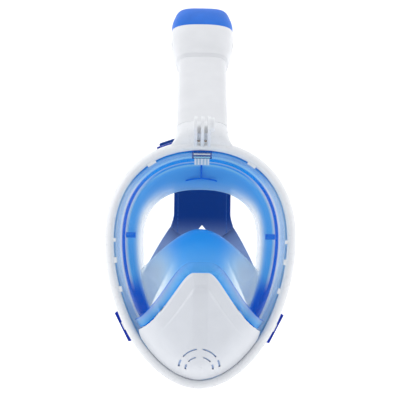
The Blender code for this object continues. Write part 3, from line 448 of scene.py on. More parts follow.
def clear(name, tint, edge_colour, edge_share, gloss=0.06):
    """Clear plastic: see-through face on, tinted and glossy where it is seen edge on."""
    made = bpy.data.materials.new(name)
    made.use_nodes = True
    made.node_tree.nodes.remove(made.node_tree.nodes["Principled BSDF"])
    through = add(made, "ShaderNodeBsdfTransparent", Color=(*tint, 1.0))
    edge = add(made, "ShaderNodeBsdfDiffuse", Color=(*edge_colour, 1.0))
    shine = add(made, "ShaderNodeBsdfGlossy", Color=(1.0, 1.0, 1.0, 1.0), Roughness=gloss)
    facing = add(made, "ShaderNodeLayerWeight", Blend=0.5).outputs["Facing"]
    rim = math_node(made, "MULTIPLY_ADD", math_node(made, "POWER", facing, 3.0), edge_share, 0.0)
    glint = math_node(made, "MULTIPLY_ADD", math_node(made, "POWER", facing, 5.0), 0.42, 0.005)
    body = mix_shaders(made, rim, through.outputs[0], edge.outputs[0])
    surface(made, mix_shaders(made, glint, body, shine.outputs[0]))
    return made


def webbing(name, colour, light, scale=900.0):
    """Woven elastic: two crossed sets of ribs, threads of slightly different blues and sewn lines, with a
    painted reflection of the lens screened over the threads from the mesh's tone.
    """
    sheen = {"Sheen_Weight": 0.05, "Sheen_Roughness": 0.4, "Specular_IOR_Level": 0.12}
    made, shader = shader_of(name, colour, 0.85, **sheen)
    where = add(made, "ShaderNodeUVMap", uv_map="weave").outputs["UV"]
    ribs = []
    for axis, share in (("X", 1.0), ("Y", 0.55)):
        wave = add(
            made, "ShaderNodeTexWave", Scale=scale * share, Distortion=0.6, Detail=1.0, bands_direction=axis
        )
        link(made, where, wave.inputs["Vector"])
        ribs.append(wave.outputs["Fac"])
    weave = math_node(made, "MULTIPLY", *ribs)
    thread = ramp(made, weave, [(0.1, tuple(c * 0.55 for c in colour)), (0.6, colour), (1.0, light)])
    # Screens the mesh's tone over the threads: a painted reflection of the lens.
    threads_under_reflection = mix_colours(made, "SCREEN", 1.0, thread, attribute(made, "tone").outputs["Color"])
    parts = add(made, "ShaderNodeSeparateXYZ")
    link(made, where, parts.inputs["Vector"])
    near = math_node(made, "COMPARE", math_node(made, "ABSOLUTE", parts.outputs["X"]), STITCH_LINE, 0.0004)
    pitch = math_node(made, "FRACT", math_node(made, "MULTIPLY", parts.outputs["Y"], 240.0))
    stitch = math_node(made, "MULTIPLY", near, math_node(made, "LESS_THAN", pitch, 0.62))
    link(made, mix_colours(made, "MIX", stitch, threads_under_reflection, (*THREAD, 1.0)), shader.inputs["Base Color"])
    bump(made, shader, math_node(made, "ADD", weave, stitch), 0.00025)
    return made


def matt(shine):
    return {"coat": 0.0, "Specular_IOR_Level": shine}


def make_finishes():
    """Each finish's material, and the record's slot that it stands for."""
    white, blue, rubber = "white_plastic", "blue_plastic", "blue_silicone"
    duct, shader = grained("duct_blue", (0.0, 0.2, 0.8), 0.35, 900.0, 0.00003, Specular_IOR_Level=0.25)
    mottle = ramp(duct, noise(duct, 300.0), [(0.3, (0.0, 0.15, 0.72)), (0.7, (0.004, 0.20, 0.84))])
    link(duct, mottle, shader.inputs["Base Color"])
    return {
        # These three are one white plastic: the frame's copy is made lighter, as painted light, and the chin
        # cover's darker, as painted shade.
        "white": (moulded("white_plastic", (0.775, 0.785, 0.805), (0.81, 0.82, 0.84), 0.30), white),
        "cover": (moulded("cover_white", (0.70, 0.725, 0.77), (0.73, 0.755, 0.80), 0.32, 0.00001), white),
        "frame": (moulded("frame_white", (0.84, 0.855, 0.875), (0.86, 0.875, 0.895), 0.28, 0.00001), white),
        "cap": (moulded("cap_blue", (0.001, 0.140, 0.66), (0.002, 0.168, 0.76), 0.36, **matt(0.25)), blue),
        "clip": (moulded("clip_blue", (0.0, 0.024, 0.36), (0.001, 0.036, 0.46), 0.36, **matt(0.2)), blue),
        "lens": (clear("lens_clear", (0.975, 0.990, 1.0), (0.50, 0.78, 1.0), 0.12), "clear_lens"),
        "silicone": (silicone("blue_silicone"), rubber),
        "fabric": (webbing("navy_webbing", (0.0, 0.070, 0.42), (0.002, 0.12, 0.58)), "navy_elastic"),
        "brass": (grained("brass", (0.36, 0.24, 0.14), 0.38, 1800.0, 0.00005, Metallic=1.0)[0], "brass"),
        "steel": (grained("pin_steel", (0.55, 0.56, 0.58), 0.28, 1500.0, 0.00003, Metallic=1.0)[0], None),
        "valve": (grained("valve_silicone", (0.50, 0.72, 0.98), 0.35, 900.0, 0.00003, Alpha=0.8)[0], None),
        "duct": (duct, None),
        "foam": (grained("float_foam", (0.85, 0.85, 0.82), 0.9, 1500.0, 0.0003)[0], None),
    }


FINISHES = make_finishes()


# Ways to make a shape.


def smooth(mesh):
    mesh.shade_smooth()
    mesh.set_sharp_from_angle(angle=SHARP)


def piece(name, points, faces, finish=None, body=BODY, tones=None, opacities=None):
    """A finished mesh object that rides on a body."""
    mesh = bpy.data.meshes.new(name)
    mesh.from_pydata([tuple(p) for p in points], [], faces)
    if tones is not None:
        layer = mesh.color_attributes.new("tone", "FLOAT_COLOR", "POINT")
        layer.data.foreach_set("color", np.array([(*t, 1.0) for t in tones], dtype=np.float32).ravel())
    if opacities is not None:
        layer = mesh.attributes.new("opacity", "FLOAT", "POINT")
        layer.data.foreach_set("value", np.array(opacities, dtype=np.float32))
    work = bmesh.new()
    work.from_mesh(mesh)
    bmesh.ops.remove_doubles(work, verts=work.verts, dist=1e-6)
    bmesh.ops.recalc_face_normals(work, faces=work.faces)
    work.to_mesh(mesh)
    work.free()
    smooth(mesh)
    made = bpy.data.objects.new(name, mesh)
    bpy.context.scene.collection.objects.link(made)
    if finish is not None:
        material, slot = FINISHES[finish]
        mesh.materials.append(material)
    if body is not None:
        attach(made, body)
    return made


def helper(points, faces):
    """A mesh that only shapes another one."""
    return piece("helper", points, faces, body=None)


def apply_modifiers(target):
    """Bakes the modifiers into the mesh, and keeps its look."""
    depsgraph = bpy.context.evaluated_depsgraph_get()
    mesh = bpy.data.meshes.new_from_object(target.evaluated_get(depsgraph))
    target.modifiers.clear()
    target.data = mesh
    smooth(mesh)


def join(target, others):
    """Moves the meshes of other objects into the target's."""
    work = bmesh.new()
    work.from_mesh(target.data)
    for other in others:
        work.from_mesh(other.data)
        bpy.data.objects.remove(other)
    work.to_mesh(target.data)
    work.free()
    smooth(target.data)


def combine(target, mesh, operation="DIFFERENCE"):
    """Cuts or adds a mesh, given as points and faces, at once."""
    other = helper(*mesh)
    step = target.modifiers.new("join", "BOOLEAN")
    step.operation = operation
    step.solver = "EXACT"
    step.object = other
    apply_modifiers(target)
    bpy.data.objects.remove(other)


def subdivide(target, levels):
    step = target.modifiers.new("smooth", "SUBSURF")
    step.levels = levels
    step.render_levels = levels


def thicken(target, thickness, even=True):
    step = target.modifiers.new("wall", "SOLIDIFY")
    step.thickness = thickness
    step.offset = 0.0
    step.use_even_offset = even


def soften(target, width, segments=3, angle=30.0):
    step = target.modifiers.new("edge", "BEVEL")
    step.width = width
    step.segments = segments
    step.limit_method = "ANGLE"
    step.angle_limit = math.radians(angle)


def grid_faces(rows, columns, closed=True):
    faces = []
    for r in range(rows - 1):
        for k in range(columns if closed else columns - 1):
            here, after = r * columns + k, r * columns + (k + 1) % columns
            faces.append((here, after, after + columns, here + columns))
    return faces


def fan(last, count, tip):
    """Faces from a ring of points that starts at last, to one point."""
    return [(last + k, last + (k + 1) % count, tip) for k in range(count)]


def rim_place(points, k, inset, height):
    """A point of a ring, from its inset and its height in millimetres."""
    spot = points[k] + inward(points, k) * inset * MM
    return place(spot.x, spot.y, height * MM)


def ring_mesh(profile, count):
    """Points and faces of a closed profile of (inset, height) in millimetres, swept round the outline."""
    points = outline(count)
    spots, faces = [], []
    size = len(profile)
    for k in range(count):
        for j, (inset, height) in enumerate(profile):
            spots.append(rim_place(points, k, inset, height))
            after, side = (k + 1) % count, (j + 1) % size
            faces.append((k * size + j, k * size + side, after * size + side, after * size + j))
    return spots, faces


def loft_mesh(rows, strips=False):
    """Points and faces of a solid through closed rows. strips fills bent ends from side to side."""
    count = len(rows[0])
    spots = [p for row in rows for p in row]
    last = len(spots) - count
    faces = [tuple(range(count)), tuple(range(last, last + count))]
    if strips:
        half = count // 2
        pairs = [(k % count, (half - 1 - k) % count) for k in range(-(half // 2), half // 2)]
        faces = [
            (base + a, base + b, base + d, base + c)
            for base in (0, last)
            for (a, b), (c, d) in zip(pairs, pairs[1:])
        ]
    return spots, faces + grid_faces(len(rows), count)


def oval(half, power, level, count, centre=(0.0, 0.0)):
    """A superellipse round the local Z axis, from its front (-Y) and towards +X first."""
    row = []
    for step in range(count):
        angle = math.tau * (step + 0.5) / count
        across, back = math.sin(angle), -math.cos(angle)
        x, y = bulge(half[0], across, power), bulge(half[1], back, power)
        row.append(Vector((centre[0] + x, centre[1] + y, level)))
    return row


def section(half_x, half_y, power, level, count=128):
    """A superellipse across the snorkel, in millimetres."""
    return oval((half_x * MM, half_y * MM), power, level * MM, count)


def snorkel_rows(rows):
    """Rows of the snorkel's own frame, put where the snorkel stands."""
    return [[SNORKEL @ p for p in row] for row in rows]


def prism_mesh(shape, low, high, turn=Matrix.Identity(4)):
    rows = [[turn @ Vector((x, y, level)) for x, y in shape] for level in (low, high)]
    return loft_mesh(rows)


def circle(radius, count, centre=(0.0, 0.0)):
    steps = [math.tau * (k + 0.5) / count for k in range(count)]
    return [(centre[0] + radius * math.cos(a), centre[1] + radius * math.sin(a)) for a in steps]


def rectangle(x0, x1, y0, y1):
    return [(x0, y0), (x1, y0), (x1, y1), (x0, y1)]


def rounded(half_x, half_y, radius, centre=(0.0, 0.0), steps=8):
    shape = []
    for turn in range(4):
        sx = 1.0 if turn in (0, 3) else -1.0
        sy = 1.0 if turn in (0, 1) else -1.0
        for step in range(steps + 1):
            angle = math.pi / 2.0 * (turn + step / steps)
            x = centre[0] + sx * (half_x - radius) + radius * math.cos(angle)
            y = centre[1] + sy * (half_y - radius) + radius * math.sin(angle)
            shape.append((x, y))
    return shape


# Frame, crown and camera mount.


def crown_mesh(steps=28):
    """The flare that carries the snorkel's socket, from an arc of the frame up to the rim and into it."""
    axis = Vector((0.0, math.sin(SNORKEL_LEAN), math.cos(SNORKEL_LEAN)))
    back = Vector((0.0, math.cos(SNORKEL_LEAN), -math.sin(SNORKEL_LEAN)))
    rows = []
    for step in range(steps + 1):
        t = step / steps
        waist = 1.0 - (1.0 - t) ** 2.4
        row = []
        for spot in oval((1.0, 1.0), 2.8, 0.0, 128):
            x_low = CROWN_HALF_WIDTH * spot.x
            z_low = FRAME_TOP * (1.0 - abs(x_low / FRAME_HALF_WIDTH) ** TOP_POWER) ** (1.0 / TOP_POWER)
            low = place(x_low, z_low - 3.5 * MM, 0.8 * MM)
            low.y += 5.2 * MM * spot.y
            rim = SNORKEL_FOOT + back * (TUBE_HALF[1] + 0.4 * MM) * spot.y
            rim.x = (TUBE_HALF[0] + 0.4 * MM) * spot.x
            pull = rim - axis * 16.0 * MM
            mid = low * (1.0 - t) ** 2 + pull * 2.0 * t * (1.0 - t) + rim * t * t
            row.append(Vector((low.x + (rim.x - low.x) * waist, mid.y, mid.z)))
        rows.append(row)
    socket = ((24.2, 13.2, 0.25), (22.2, 11.2, 0.25), (21.8, 10.8, -0.1), (21.8, 10.8, -8.0))
    rows += snorkel_rows([section(wide, deep, TUBE_POWER, level) for wide, deep, level in socket])
    return loft_mesh(rows, strips=True)


def prong(x, half_width, radius, stem=True):
    """A plate with a round end about the mount's axis and softened edges, and a stem into the crown."""
    steps = 32
    if stem:
        turns = [math.pi * step / steps for step in range(steps + 1)]
        shape = [(-radius * math.sin(a), radius * math.cos(a)) for a in turns]
        reach = (PRONG_ROOT - PRONG_TIP).length
        shape += [(reach, -radius), (reach, radius)]
    else:
        shape = [(b, a) for a, b in circle(radius, steps)]
    made = helper(*prong_plate(shape, x - half_width, x + half_width))
    soften(made, 0.45 * MM)
    apply_modifiers(made)
    return made


def prong_plate(shape, low, high):
    """A plate across the mount, from its outline along and beside the prongs."""
    spots = [PRONG_TIP + PRONG_ALONG * a + PRONG_SIDE * b for a, b in shape]
    return loft_mesh([[Vector((x, p.y, p.z)) for p in spots] for x in (low, high)])


def prong_web():
    """The web that closes the gaps between the prongs at their backs."""
    shape = [(a * MM, b * MM) for a, b in ((8.0, -3.6), (21.6, -2.4), (21.6, 7.2), (8.0, 7.2))]
    return helper(*prong_plate(shape, -PRONG_PITCH - 0.5 * MM, PRONG_PITCH + 0.5 * MM))


def screw_turn(side):
    """The place and direction of the brass screw at the root of a gap between two prongs."""
    spot = place(side * PRONG_PITCH / 2.0, 92.6 * MM, 7.8 * MM)
    return Matrix.Translation(spot) @ Matrix.Rotation(math.pi / 2.0 - 0.2, 4, "X")


def snap_tabs():
    """The frame's snap tabs: short steps along its inner edge that hold the lens's flange."""
    tabs = []
    pitch = (OUTLINE[1] - OUTLINE[0]).length
    across = ((8.0, 3.0), (10.9, 3.0), (11.2, 3.3), (11.2, 4.3), (10.8, 4.7), (8.0, 5.0))
    for centre, length in ((0.166, 10.0), (0.452, 4.0), (0.512, 5.0), (0.601, 5.0)):
        for side in (-1, 1):
            k = round(centre * DENSE / 2) * side
            half = round(length * MM / 2.0 / pitch)
            turns = [j % DENSE for j in range(k - half, k + half + 1)]
            rows = [[rim_place(OUTLINE, j, *spot) for spot in across] for j in turns]
            tabs.append(helper(*loft_mesh(rows)))
    return tabs


def front_shell():
    profile = [
        (0.5, -4.5), (0.0, -3.9), (0.0, 0.4), (0.3, 2.9), (1.3, 5.1), (3.0, 6.6), (5.0, 7.0), (7.0, 6.4),
        (8.5, 4.9), (9.1, 3.6), (9.15, 2.8), (8.9, 2.6), (5.1, 2.6), (5.0, 2.5), (5.0, -4.4), (4.8, -4.5),
    ]
    made = piece("frame_shell", *ring_mesh(profile, 200), "frame")
    subdivide(made, 1)
    apply_modifiers(made)
    combine(made, loft_mesh(snorkel_rows([section(21.8, 10.8, TUBE_POWER, z, 64) for z in (-8.0, 3.0)])))
    prongs = [prong(x, PRONG_WIDTH / 2.0, PRONG_RADIUS) for x in (-PRONG_PITCH, 0.0, PRONG_PITCH)]
    boss_x = PRONG_PITCH + PRONG_WIDTH / 2.0
    prongs.append(prong(boss_x + 1.4 * MM, 1.7 * MM, 6.3 * MM, stem=False))
    across = Matrix.Translation(PRONG_TIP) @ Matrix.Rotation(math.pi / 2.0, 4, "Y")
    for part in prongs:
        combine(part, prism_mesh(circle(PRONG_BORE, 40), -0.03, 0.03, across))
    combine(prongs[3], prism_mesh(circle(NUT_RADIUS, 6), boss_x + 0.2 * MM, 0.02, across))
    join(made, [helper(*crown_mesh()), prong_web()] + prongs + snap_tabs())
    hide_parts("front_frame")


def mount_screws():
    """Brass screws with a domed head and a cross-shaped drive."""
    levels = ((1.1, -3.2), (1.1, -0.3), (1.32, -0.2), (1.32, 0.15), (1.1, 0.45), (0.7, 0.6), (0.2, 0.66))
    for side, name in ((-1, "left"), (1, "right")):
        turn = screw_turn(side)
        rows = [[turn @ Vector((x, y, z * MM)) for x, y in circle(radius * MM, 28)] for radius, z in levels]
        made = piece("screw_" + name, *loft_mesh(rows), "brass")
        for x, y in ((0.8 * MM, 0.16 * MM), (0.16 * MM, 0.8 * MM)):
            combine(made, prism_mesh(rectangle(-x, x, -y, y), 0.2 * MM, 2.0 * MM, turn))
        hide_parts("mount_screw_" + name)


# Lens, gasket and cover.


def lens_shell():
    count = 208
    points = outline(count)
    rows = []
    for row in range(len(LENS_RIM)):
        spots = [lens_rim_row(points, k, row) for k in range(count)]
        rows.append([place(p.x, p.y, height) for p, height in spots])
    for share in (0.86, 0.72, 0.58, 0.45, 0.32, 0.2, 0.1):
        rows.append([lens_place(points, k, share) for k in range(count)])
    spots = [p for row in rows for p in row]
    faces = grid_faces(len(rows), count) + fan(len(spots) - count, count, len(spots))
    spots.append(place(0.0, LENS_CENTRE_Z, LENS_CROWN + nose_bulge(0.0, LENS_CENTRE_Z)))
    made = piece("lens_shell", spots, faces, "lens")
    subdivide(made, 1)
    thicken(made, LENS_WALL)
    apply_modifiers(made)
    middle = Matrix.Translation(place(0.0, -106.0 * MM, 12.6 * MM))
    purge = middle @ Matrix.Rotation(math.pi / 2.0 + 0.1, 4, "X")
    combine(made, prism_mesh(circle(10.4 * MM, 64), -14.0 * MM, 14.0 * MM, purge))
    shape = rounded(9.8 * MM, 3.8 * MM, 0.8 * MM, (0.0, -23.4 * MM))
    combine(made, prism_mesh(shape, 77.1 * MM, 101.0 * MM))
    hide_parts("lens")


def cover_edge(share):
    """The chin cover's top edge, from its middle (0) to its corner (1)."""
    if share < COVER_FLAT:
        return Vector((COVER_EDGE[0][0] * MM * share / COVER_FLAT, COVER_EDGE[0][1] * MM))
    t = (share - COVER_FLAT) / (1.0 - COVER_FLAT)
    return bezier(*(Vector(p) * MM for p in COVER_EDGE), t)


COVER_LINE = np.array([tuple(cover_edge(j / 200.0)) for j in range(201)])


def cover_foot_line():
    """The cover's lower edge, from the bottom of the frame up to the corner, inset from the outline."""
    half = DENSE // 2
    corner = COVER_EDGE[-1][1] * MM
    line = []
    for k in range(half, 0, -1):
        inset = COVER_INSET + COVER_CORNER * ease(corner - 16.0 * MM, corner, OUTLINE[k].y)
        line.append(OUTLINE[k] + inward(OUTLINE, k) * inset)
    return [p for p in line if p.y <= corner]


def cover_level(spot):
    """The cover's height at a spot: a ridge over the nose, flanks that fall away, and a steep foot."""
    down = max(0.0, -spot.y - 40.0 * MM)
    ridge = COVER_RIDGE - 3.2 * down * down
    beside = max(0.0, abs(spot.x) - 6.0 * MM) / (44.0 * MM)
    crest = ridge - COVER_FLANK * beside ** (1.0 + 0.3 * fade(-60.0, -95.0, spot.y))
    rise = min(max(inset_at(spot) - COVER_INSET, 0.0) / COVER_ROUND, 1.0)
    return COVER_FOOT + (crest - COVER_FOOT) * (1.0 - (1.0 - rise) ** 3)


def cover_relief(spot):
    """The fine relief on the cover: a border along its top edge, and a shallow groove over the ridge."""
    away = float(np.sqrt(((COVER_LINE - np.array((abs(spot.x), spot.y))) ** 2).sum(axis=1).min()))
    border = 1.0 - fade(10.6, 12.4, away)
    border *= fade(-84.0, -66.0, spot.y)
    groove = 1.0 - fade(0.3, 1.0, abs(spot.y + 40.6 * MM))
    groove *= 1.0 - fade(7.0, 9.0, abs(spot.x))
    lip = 1.0 - fade(0.0, 1.8, away)
    return -1.0 * MM * border - 0.3 * MM * groove - 0.9 * MM * lip


def cover_place(spot):
    return place(spot.x, spot.y, cover_level(spot) + cover_relief(spot))


def cover_shell():
    foot = cover_foot_line()
    columns, rows = 110, 90
    spots = []
    for c in range(-columns, columns + 1):
        share = abs(c) / columns
        low = foot[round(share * (len(foot) - 1))]
        top = low if share == 1.0 else cover_edge(share)
        for r in range(rows + 1):
            spot = low.lerp(top, (r / rows) ** 1.2)
            spot.x = math.copysign(spot.x, c)
            spots.append(cover_place(spot))
    made = piece("cover_shell", spots, grid_faces(2 * columns + 1, rows + 1, closed=False), "cover")
    thicken(made, COVER_WALL, even=False)
    apply_modifiers(made)
    for shape in vent_shapes():
        combine(made, loft_mesh([[Vector((x, y, z)) for x, z in shape] for y in (-110.0 * MM, -30.0 * MM)]))
    badge = []
    for scale, rise in ((1.0, 0.4), (1.0, 1.1), (0.9, 1.4), (0.6, 1.5)):
        spots = [Vector((2.7 * scale * x, -111.5 + 1.5 * scale * z)) * MM for x, z in circle(1.0, 32)]
        badge.append([cover_place(spot) - Vector((0.0, rise * MM, 0.0)) for spot in spots])
    join(made, [helper(*loft_mesh(badge))])
    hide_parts("chin_cover")


def window_lip():
    """The window's lower border: a tinted band on the lens along the cover's edge, between two dark beads;
    the deep blue bead along the cover's edge is a painted shadow of the gap under the cover.
    """
    lens = bpy.data.objects["lens_shell"].data
    tree = BVHTree.FromPolygons([v.co for v in lens.vertices], [p.vertices[:] for p in lens.polygons])
    across = [
        # The last three rows, deep blue along the cover's edge, are painted shadow of the gap under the
        # cover.
        (0.6, -1.2, AZURE, 0.8), (0.6, 0.9, AZURE, 0.8), (1.0, 1.0, AZURE, 0.8), (1.3, 0.7, MID, 0.6),
        (5.0, 0.7, LIGHT, 0.55), (8.8, 0.7, CLOUD, 0.5), (9.1, 0.8, DEEP, 0.6), (9.4, 0.8, DEEP, 0.6),
        (9.4, -0.8, DEEP, 0.6),
    ]
    columns = 100
    rows, tones, opacities = [], [], []
    for c in range(-columns, columns + 1):
        share = min(abs(c) / columns, 0.985)
        ahead = cover_edge(min(share + 0.01, 1.0)) - cover_edge(max(share - 0.01, 0.0))
        out = Vector((-ahead.y, ahead.x)).normalized()
        row = []
        for offset, height, tone, opacity in across:
            spot = cover_edge(share) + out * offset * MM
            x = spot.x if c >= 0 else -spot.x
            hit = tree.ray_cast(Vector((x, -0.3, spot.y)), Vector((0.0, 1.0, 0.0)))[0]
            row.append(hit - Vector((0.0, height * MM, 0.0)))
            tones.append(tone)
            opacities.append(opacity * (0.1 + 0.9 * ease(0.08, 0.5, share)))
        rows.append(row)
    piece("window_lip", *loft_mesh(rows), "silicone", tones=tones, opacities=opacities)


def duct_dress():
    """The duct's mouth: a dark frame with two pale bars, and the ribbed pale block under it."""
    shapes = [
        ("duct_mouth", (-9.2, 9.2, 75.8, 81.6), 0.0, NAVY, 0.97),
        ("duct_bar_upper", (-7.6, 7.6, 79.4, 80.6), 0.6, WHITE, 0.9),
        ("duct_bar_lower", (-7.6, 7.6, 76.4, 77.7), 0.6, LIGHT, 0.9),
        ("duct_block", (-7.0, 7.0, 70.0, 76.0), 0.2, CLOUD, 0.8),
    ]
    for k in (-2, -1, 0, 1, 2):
        shapes.append((f"duct_rib_{k}", (k * 3.0 - 0.6, k * 3.0 + 0.6, 70.2, 75.8), 0.7, WHITE, 0.9))
    for name, corners, rise, tone, opacity in shapes:
        shape = rectangle(*corners)
        points, faces = loft_mesh([[Vector((x, y, z)) * MM for x, z in shape] for y in (-29.2 - rise, -28.0)])
        size = len(points)
        made = piece(name, points, faces, "silicone", tones=[tone] * size, opacities=[opacity] * size)
        soften(made, 0.15 * MM, 2)


def vent_baffle():
    """The pale filter behind the vents, following the chin cover, with a way through for the purge flap."""
    count = 64
    sheet = [(t, 0.85) for t in (0.0, 0.25, 0.5, 0.75, 1.0)] + [(t, 1.1) for t in (1.0, 0.75, 0.5, 0.25, 0.0)]
    spots = []
    for t, depth in sheet:
        for x, z in circle(1.0, count):
            spot = Vector(((9.5 + 13.0 * t) * x, -113.0 + 7.0 * t + (8.5 + 10.5 * t) * z)) * MM
            spots.append(place(spot.x, spot.y, cover_level(spot) - depth * MM))
    size = len(spots)
    faces = [tuple(k % size for k in face) for face in grid_faces(len(sheet) + 1, count)]
    piece("vent_baffle", spots, faces, "silicone", tones=[BAFFLE] * size, opacities=[0.98] * size)


def foot_line():
    """The broken blue line of the gasket's edge between the chin cover and the frame."""
    right = cover_foot_line()[::10]
    line = [Vector((-p.x, p.y)) for p in reversed(right[1:])] + right
    rows, tones = [], []
    for k in range(1, len(line) - 1):
        along = (line[k + 1] - line[k - 1]).normalized()
        out = Vector((-along.y, along.x))
        blue = 1.0 if (k // 5) % 4 == 0 or line[k].y > -92.0 * MM else 0.0
        tones += [mix((0.74, 0.79, 0.86), MID, blue)] * 4
        row = []
        for across, height in ((-0.9, 3.0), (1.0, 3.0), (1.0, 4.3), (-0.9, 4.1)):
            spot = line[k] - out * across * MM
            row.append(place(spot.x, spot.y, height * MM))
        rows.append(row)
    piece("gasket_line", *loft_mesh(rows), "silicone", tones=tones, opacities=[0.97] * len(tones))


def vent_shapes():
    """The vents over the purge valve: two broken arches."""
    arches = [
        (18.3, 20.6, 1.3, 8.0, 52.0),
        (18.3, 20.6, 1.8, 64.0, 87.0),
        (12.3, 13.1, 1.2, 15.0, 52.0),
        (12.3, 13.1, 1.7, 68.0, 94.0),
    ]
    found = []
    for across, up, width, start, end in arches:
        turns = [math.radians(start + (end - start) * step / 10) for step in range(11)]
        loop = [(-0.5 * width, a) for a in turns] + [(0.5 * width, a) for a in reversed(turns)]
        for side in (-1.0, 1.0):
            found.append([
                (side * (across + out) * math.sin(a) * MM, (-113.0 + (up + out) * math.cos(a)) * MM)
                for out, a in loop
            ])
    return found


# Skirt and nose pocket.


def skirt_shell():
    """The face skirt, with its tone and opacity from clamp to lip."""
    count = 224
    points = outline(count)
    opening = egg(*OPENING, count)
    rows, tones, opacities = [], [], []
    for j, (inset, height, tone, brow) in enumerate(SKIRT_WALLS):
        row = [rim_place(points, k, inset, height) for k in range(count)]
        for spot in row:
            low = fade(-34.0, -52.0, spot.z) if j > 6 else 0.0
            tones.append(mix(mix(tone, brow, fade(44.0, 66.0, spot.z)), DEEP, low))
            opacities.append(0.96)
        rows.append(row)
    edge = [Vector((p.x, p.z)) for p in rows[-1]]
    for share, height in SKIRT_LIP:
        row = []
        for start, end in zip(edge, opening):
            spot = start.lerp(end, share)
            row.append(place(spot.x, spot.y, height * MM))
            # Towards the top the lip turns grey-blue: painted shade under the skirt's brow.
            top = fade(20.0, 60.0, spot.y)
            low = fade(-30.0, -55.0, spot.y) * (1.0 - ease(0.2, 0.7, share))
            sides = mix(mix(MID, WHITE, ease(0.2, 0.85, share)), DEEP, low)
            tones.append(mix(sides, GREY_BLUE, top))
            opacities.append(0.94 - (0.66 - 0.54 * top) * ease(0.3, 1.0, share))
        rows.append(row)
    flat = [p for row in rows for p in row]
    faces = grid_faces(len(rows), count)
    made = piece("skirt_shell", flat, faces, "silicone", tones=tones, opacities=opacities)
    subdivide(made, 1)
    thicken(made, 1.6 * MM)
    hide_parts("face_skirt")


def pocket_rim(count):
    """The nose pocket's rim: the arch above, and the seal's opening below, lapped a little past it."""
    half_width, top, bottom, top_power, bottom_power = OPENING
    opening = egg(half_width + POCKET_LAP, top, bottom + POCKET_LAP, top_power, bottom_power)
    low = [p for p in opening if p.y < arch_height(p.x)]
    ends = low[0].x
    steps = 200
    right = [Vector((ends * t / steps, arch_height(ends * t / steps))) for t in range(steps)]
    left = [Vector((-p.x, p.y)) for p in reversed(right[1:])]
    return evenly(right + low + left, count)


def pocket_shell():
    count = 180
    rim = pocket_rim(count)
    mouth = egg(15.0 * MM, 17.0 * MM, 19.0 * MM, 2.0, 2.0, count)
    spots, tones, opacities = [], [], []
    steps = 20
    for step in range(steps + 1):
        t = step / steps
        for k in range(count):
            spot = rim[k].lerp(mouth[k] + Vector((0.0, -58.0 * MM)), t**1.25)
            spots.append(place(spot.x, spot.y, (-26.6 + 43.0 * t**0.8) * MM))
            outer = fade(14.0, 42.0, abs(spot.x))
            low = fade(8.0, -32.0, spot.y)
            tones.append(mix(mix(AZURE, LIGHT, 0.06 + 0.40 * low), (0.84, 0.97, 1.0), outer * low))
            opacities.append(0.97 - 0.66 * outer * low)
    faces = grid_faces(steps + 1, count)
    made = piece("pocket_shell", spots, faces, "silicone", tones=tones, opacities=opacities)
    thicken(made, 1.5 * MM)
    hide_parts("nose_pocket")


# Snorkel.


def smooth_levels(rows, steps):
    """More rows between rows of numbers, on a smooth curve through them."""
    found = []
    last = len(rows) - 1
    for j in range(last):
        four = rows[max(j - 1, 0)], rows[j], rows[j + 1], rows[min(j + 2, last)]
        for step in range(steps):
            found.append(tuple(catmull(*values, step / steps) for values in zip(*four)))
    return found + [rows[-1]]


def catmull(p, q, r, s, t):
    """The number at t on a smooth curve from q to r."""
    curve = (2.0 * p - 5.0 * q + 4.0 * r - s) * t * t + (3.0 * q - p - 3.0 * r + s) * t**3
    return 0.5 * (2.0 * q + (r - p) * t + curve)


def seam_slant(row, amount=1.0):
    """Slants a row towards the seam's plane."""
    for spot in row:
        spot.z += SEAM_SLANT * spot.y / SEAM_HALF[1] * amount
    return row


def snorkel_skin(name, rows, finish, middle=None):
    """A wall of the dry top through rows, closed at its middle point where it has one."""
    count = len(rows[0])
    spots = [p for row in snorkel_rows(rows) for p in row]
    faces = grid_faces(len(rows), count)
    if middle is not None:
        faces += fan(len(spots) - count, count, len(spots))
        spots.append(SNORKEL @ middle)
    made = piece(name, spots, faces, finish, body="snorkel")
    thicken(made, HEAD_WALL)
    apply_modifiers(made)
    return made


def tube_shell():
    spigot = (
        (21.2, 10.2, -6.0), (21.4, 10.4, -5.6), (21.4, 10.4, 0.35),
        (23.8, 12.8, 0.35), (24.0, 13.0, 0.6), (24.0, 13.0, 1.2),
    )
    rows = [section(wide, deep, TUBE_POWER, level) for wide, deep, level in spigot]
    rows += [oval(TUBE_HALF, TUBE_POWER, z * MM, 128) for z in range(8, 129, 8)]
    made = piece("tube_shell", *loft_mesh(snorkel_rows(rows)), "white", body="snorkel")
    for x, wide, deep in ((0.0, 8.0, 8.8), (-14.6, 4.6, 7.8), (14.6, 4.6, 7.8)):
        way = [oval((wide * MM, deep * MM), 3.0, z, 48, (x * MM, 0.0)) for z in (-0.03, 0.16)]
        combine(made, loft_mesh(snorkel_rows(way)))
    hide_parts("snorkel_tube")


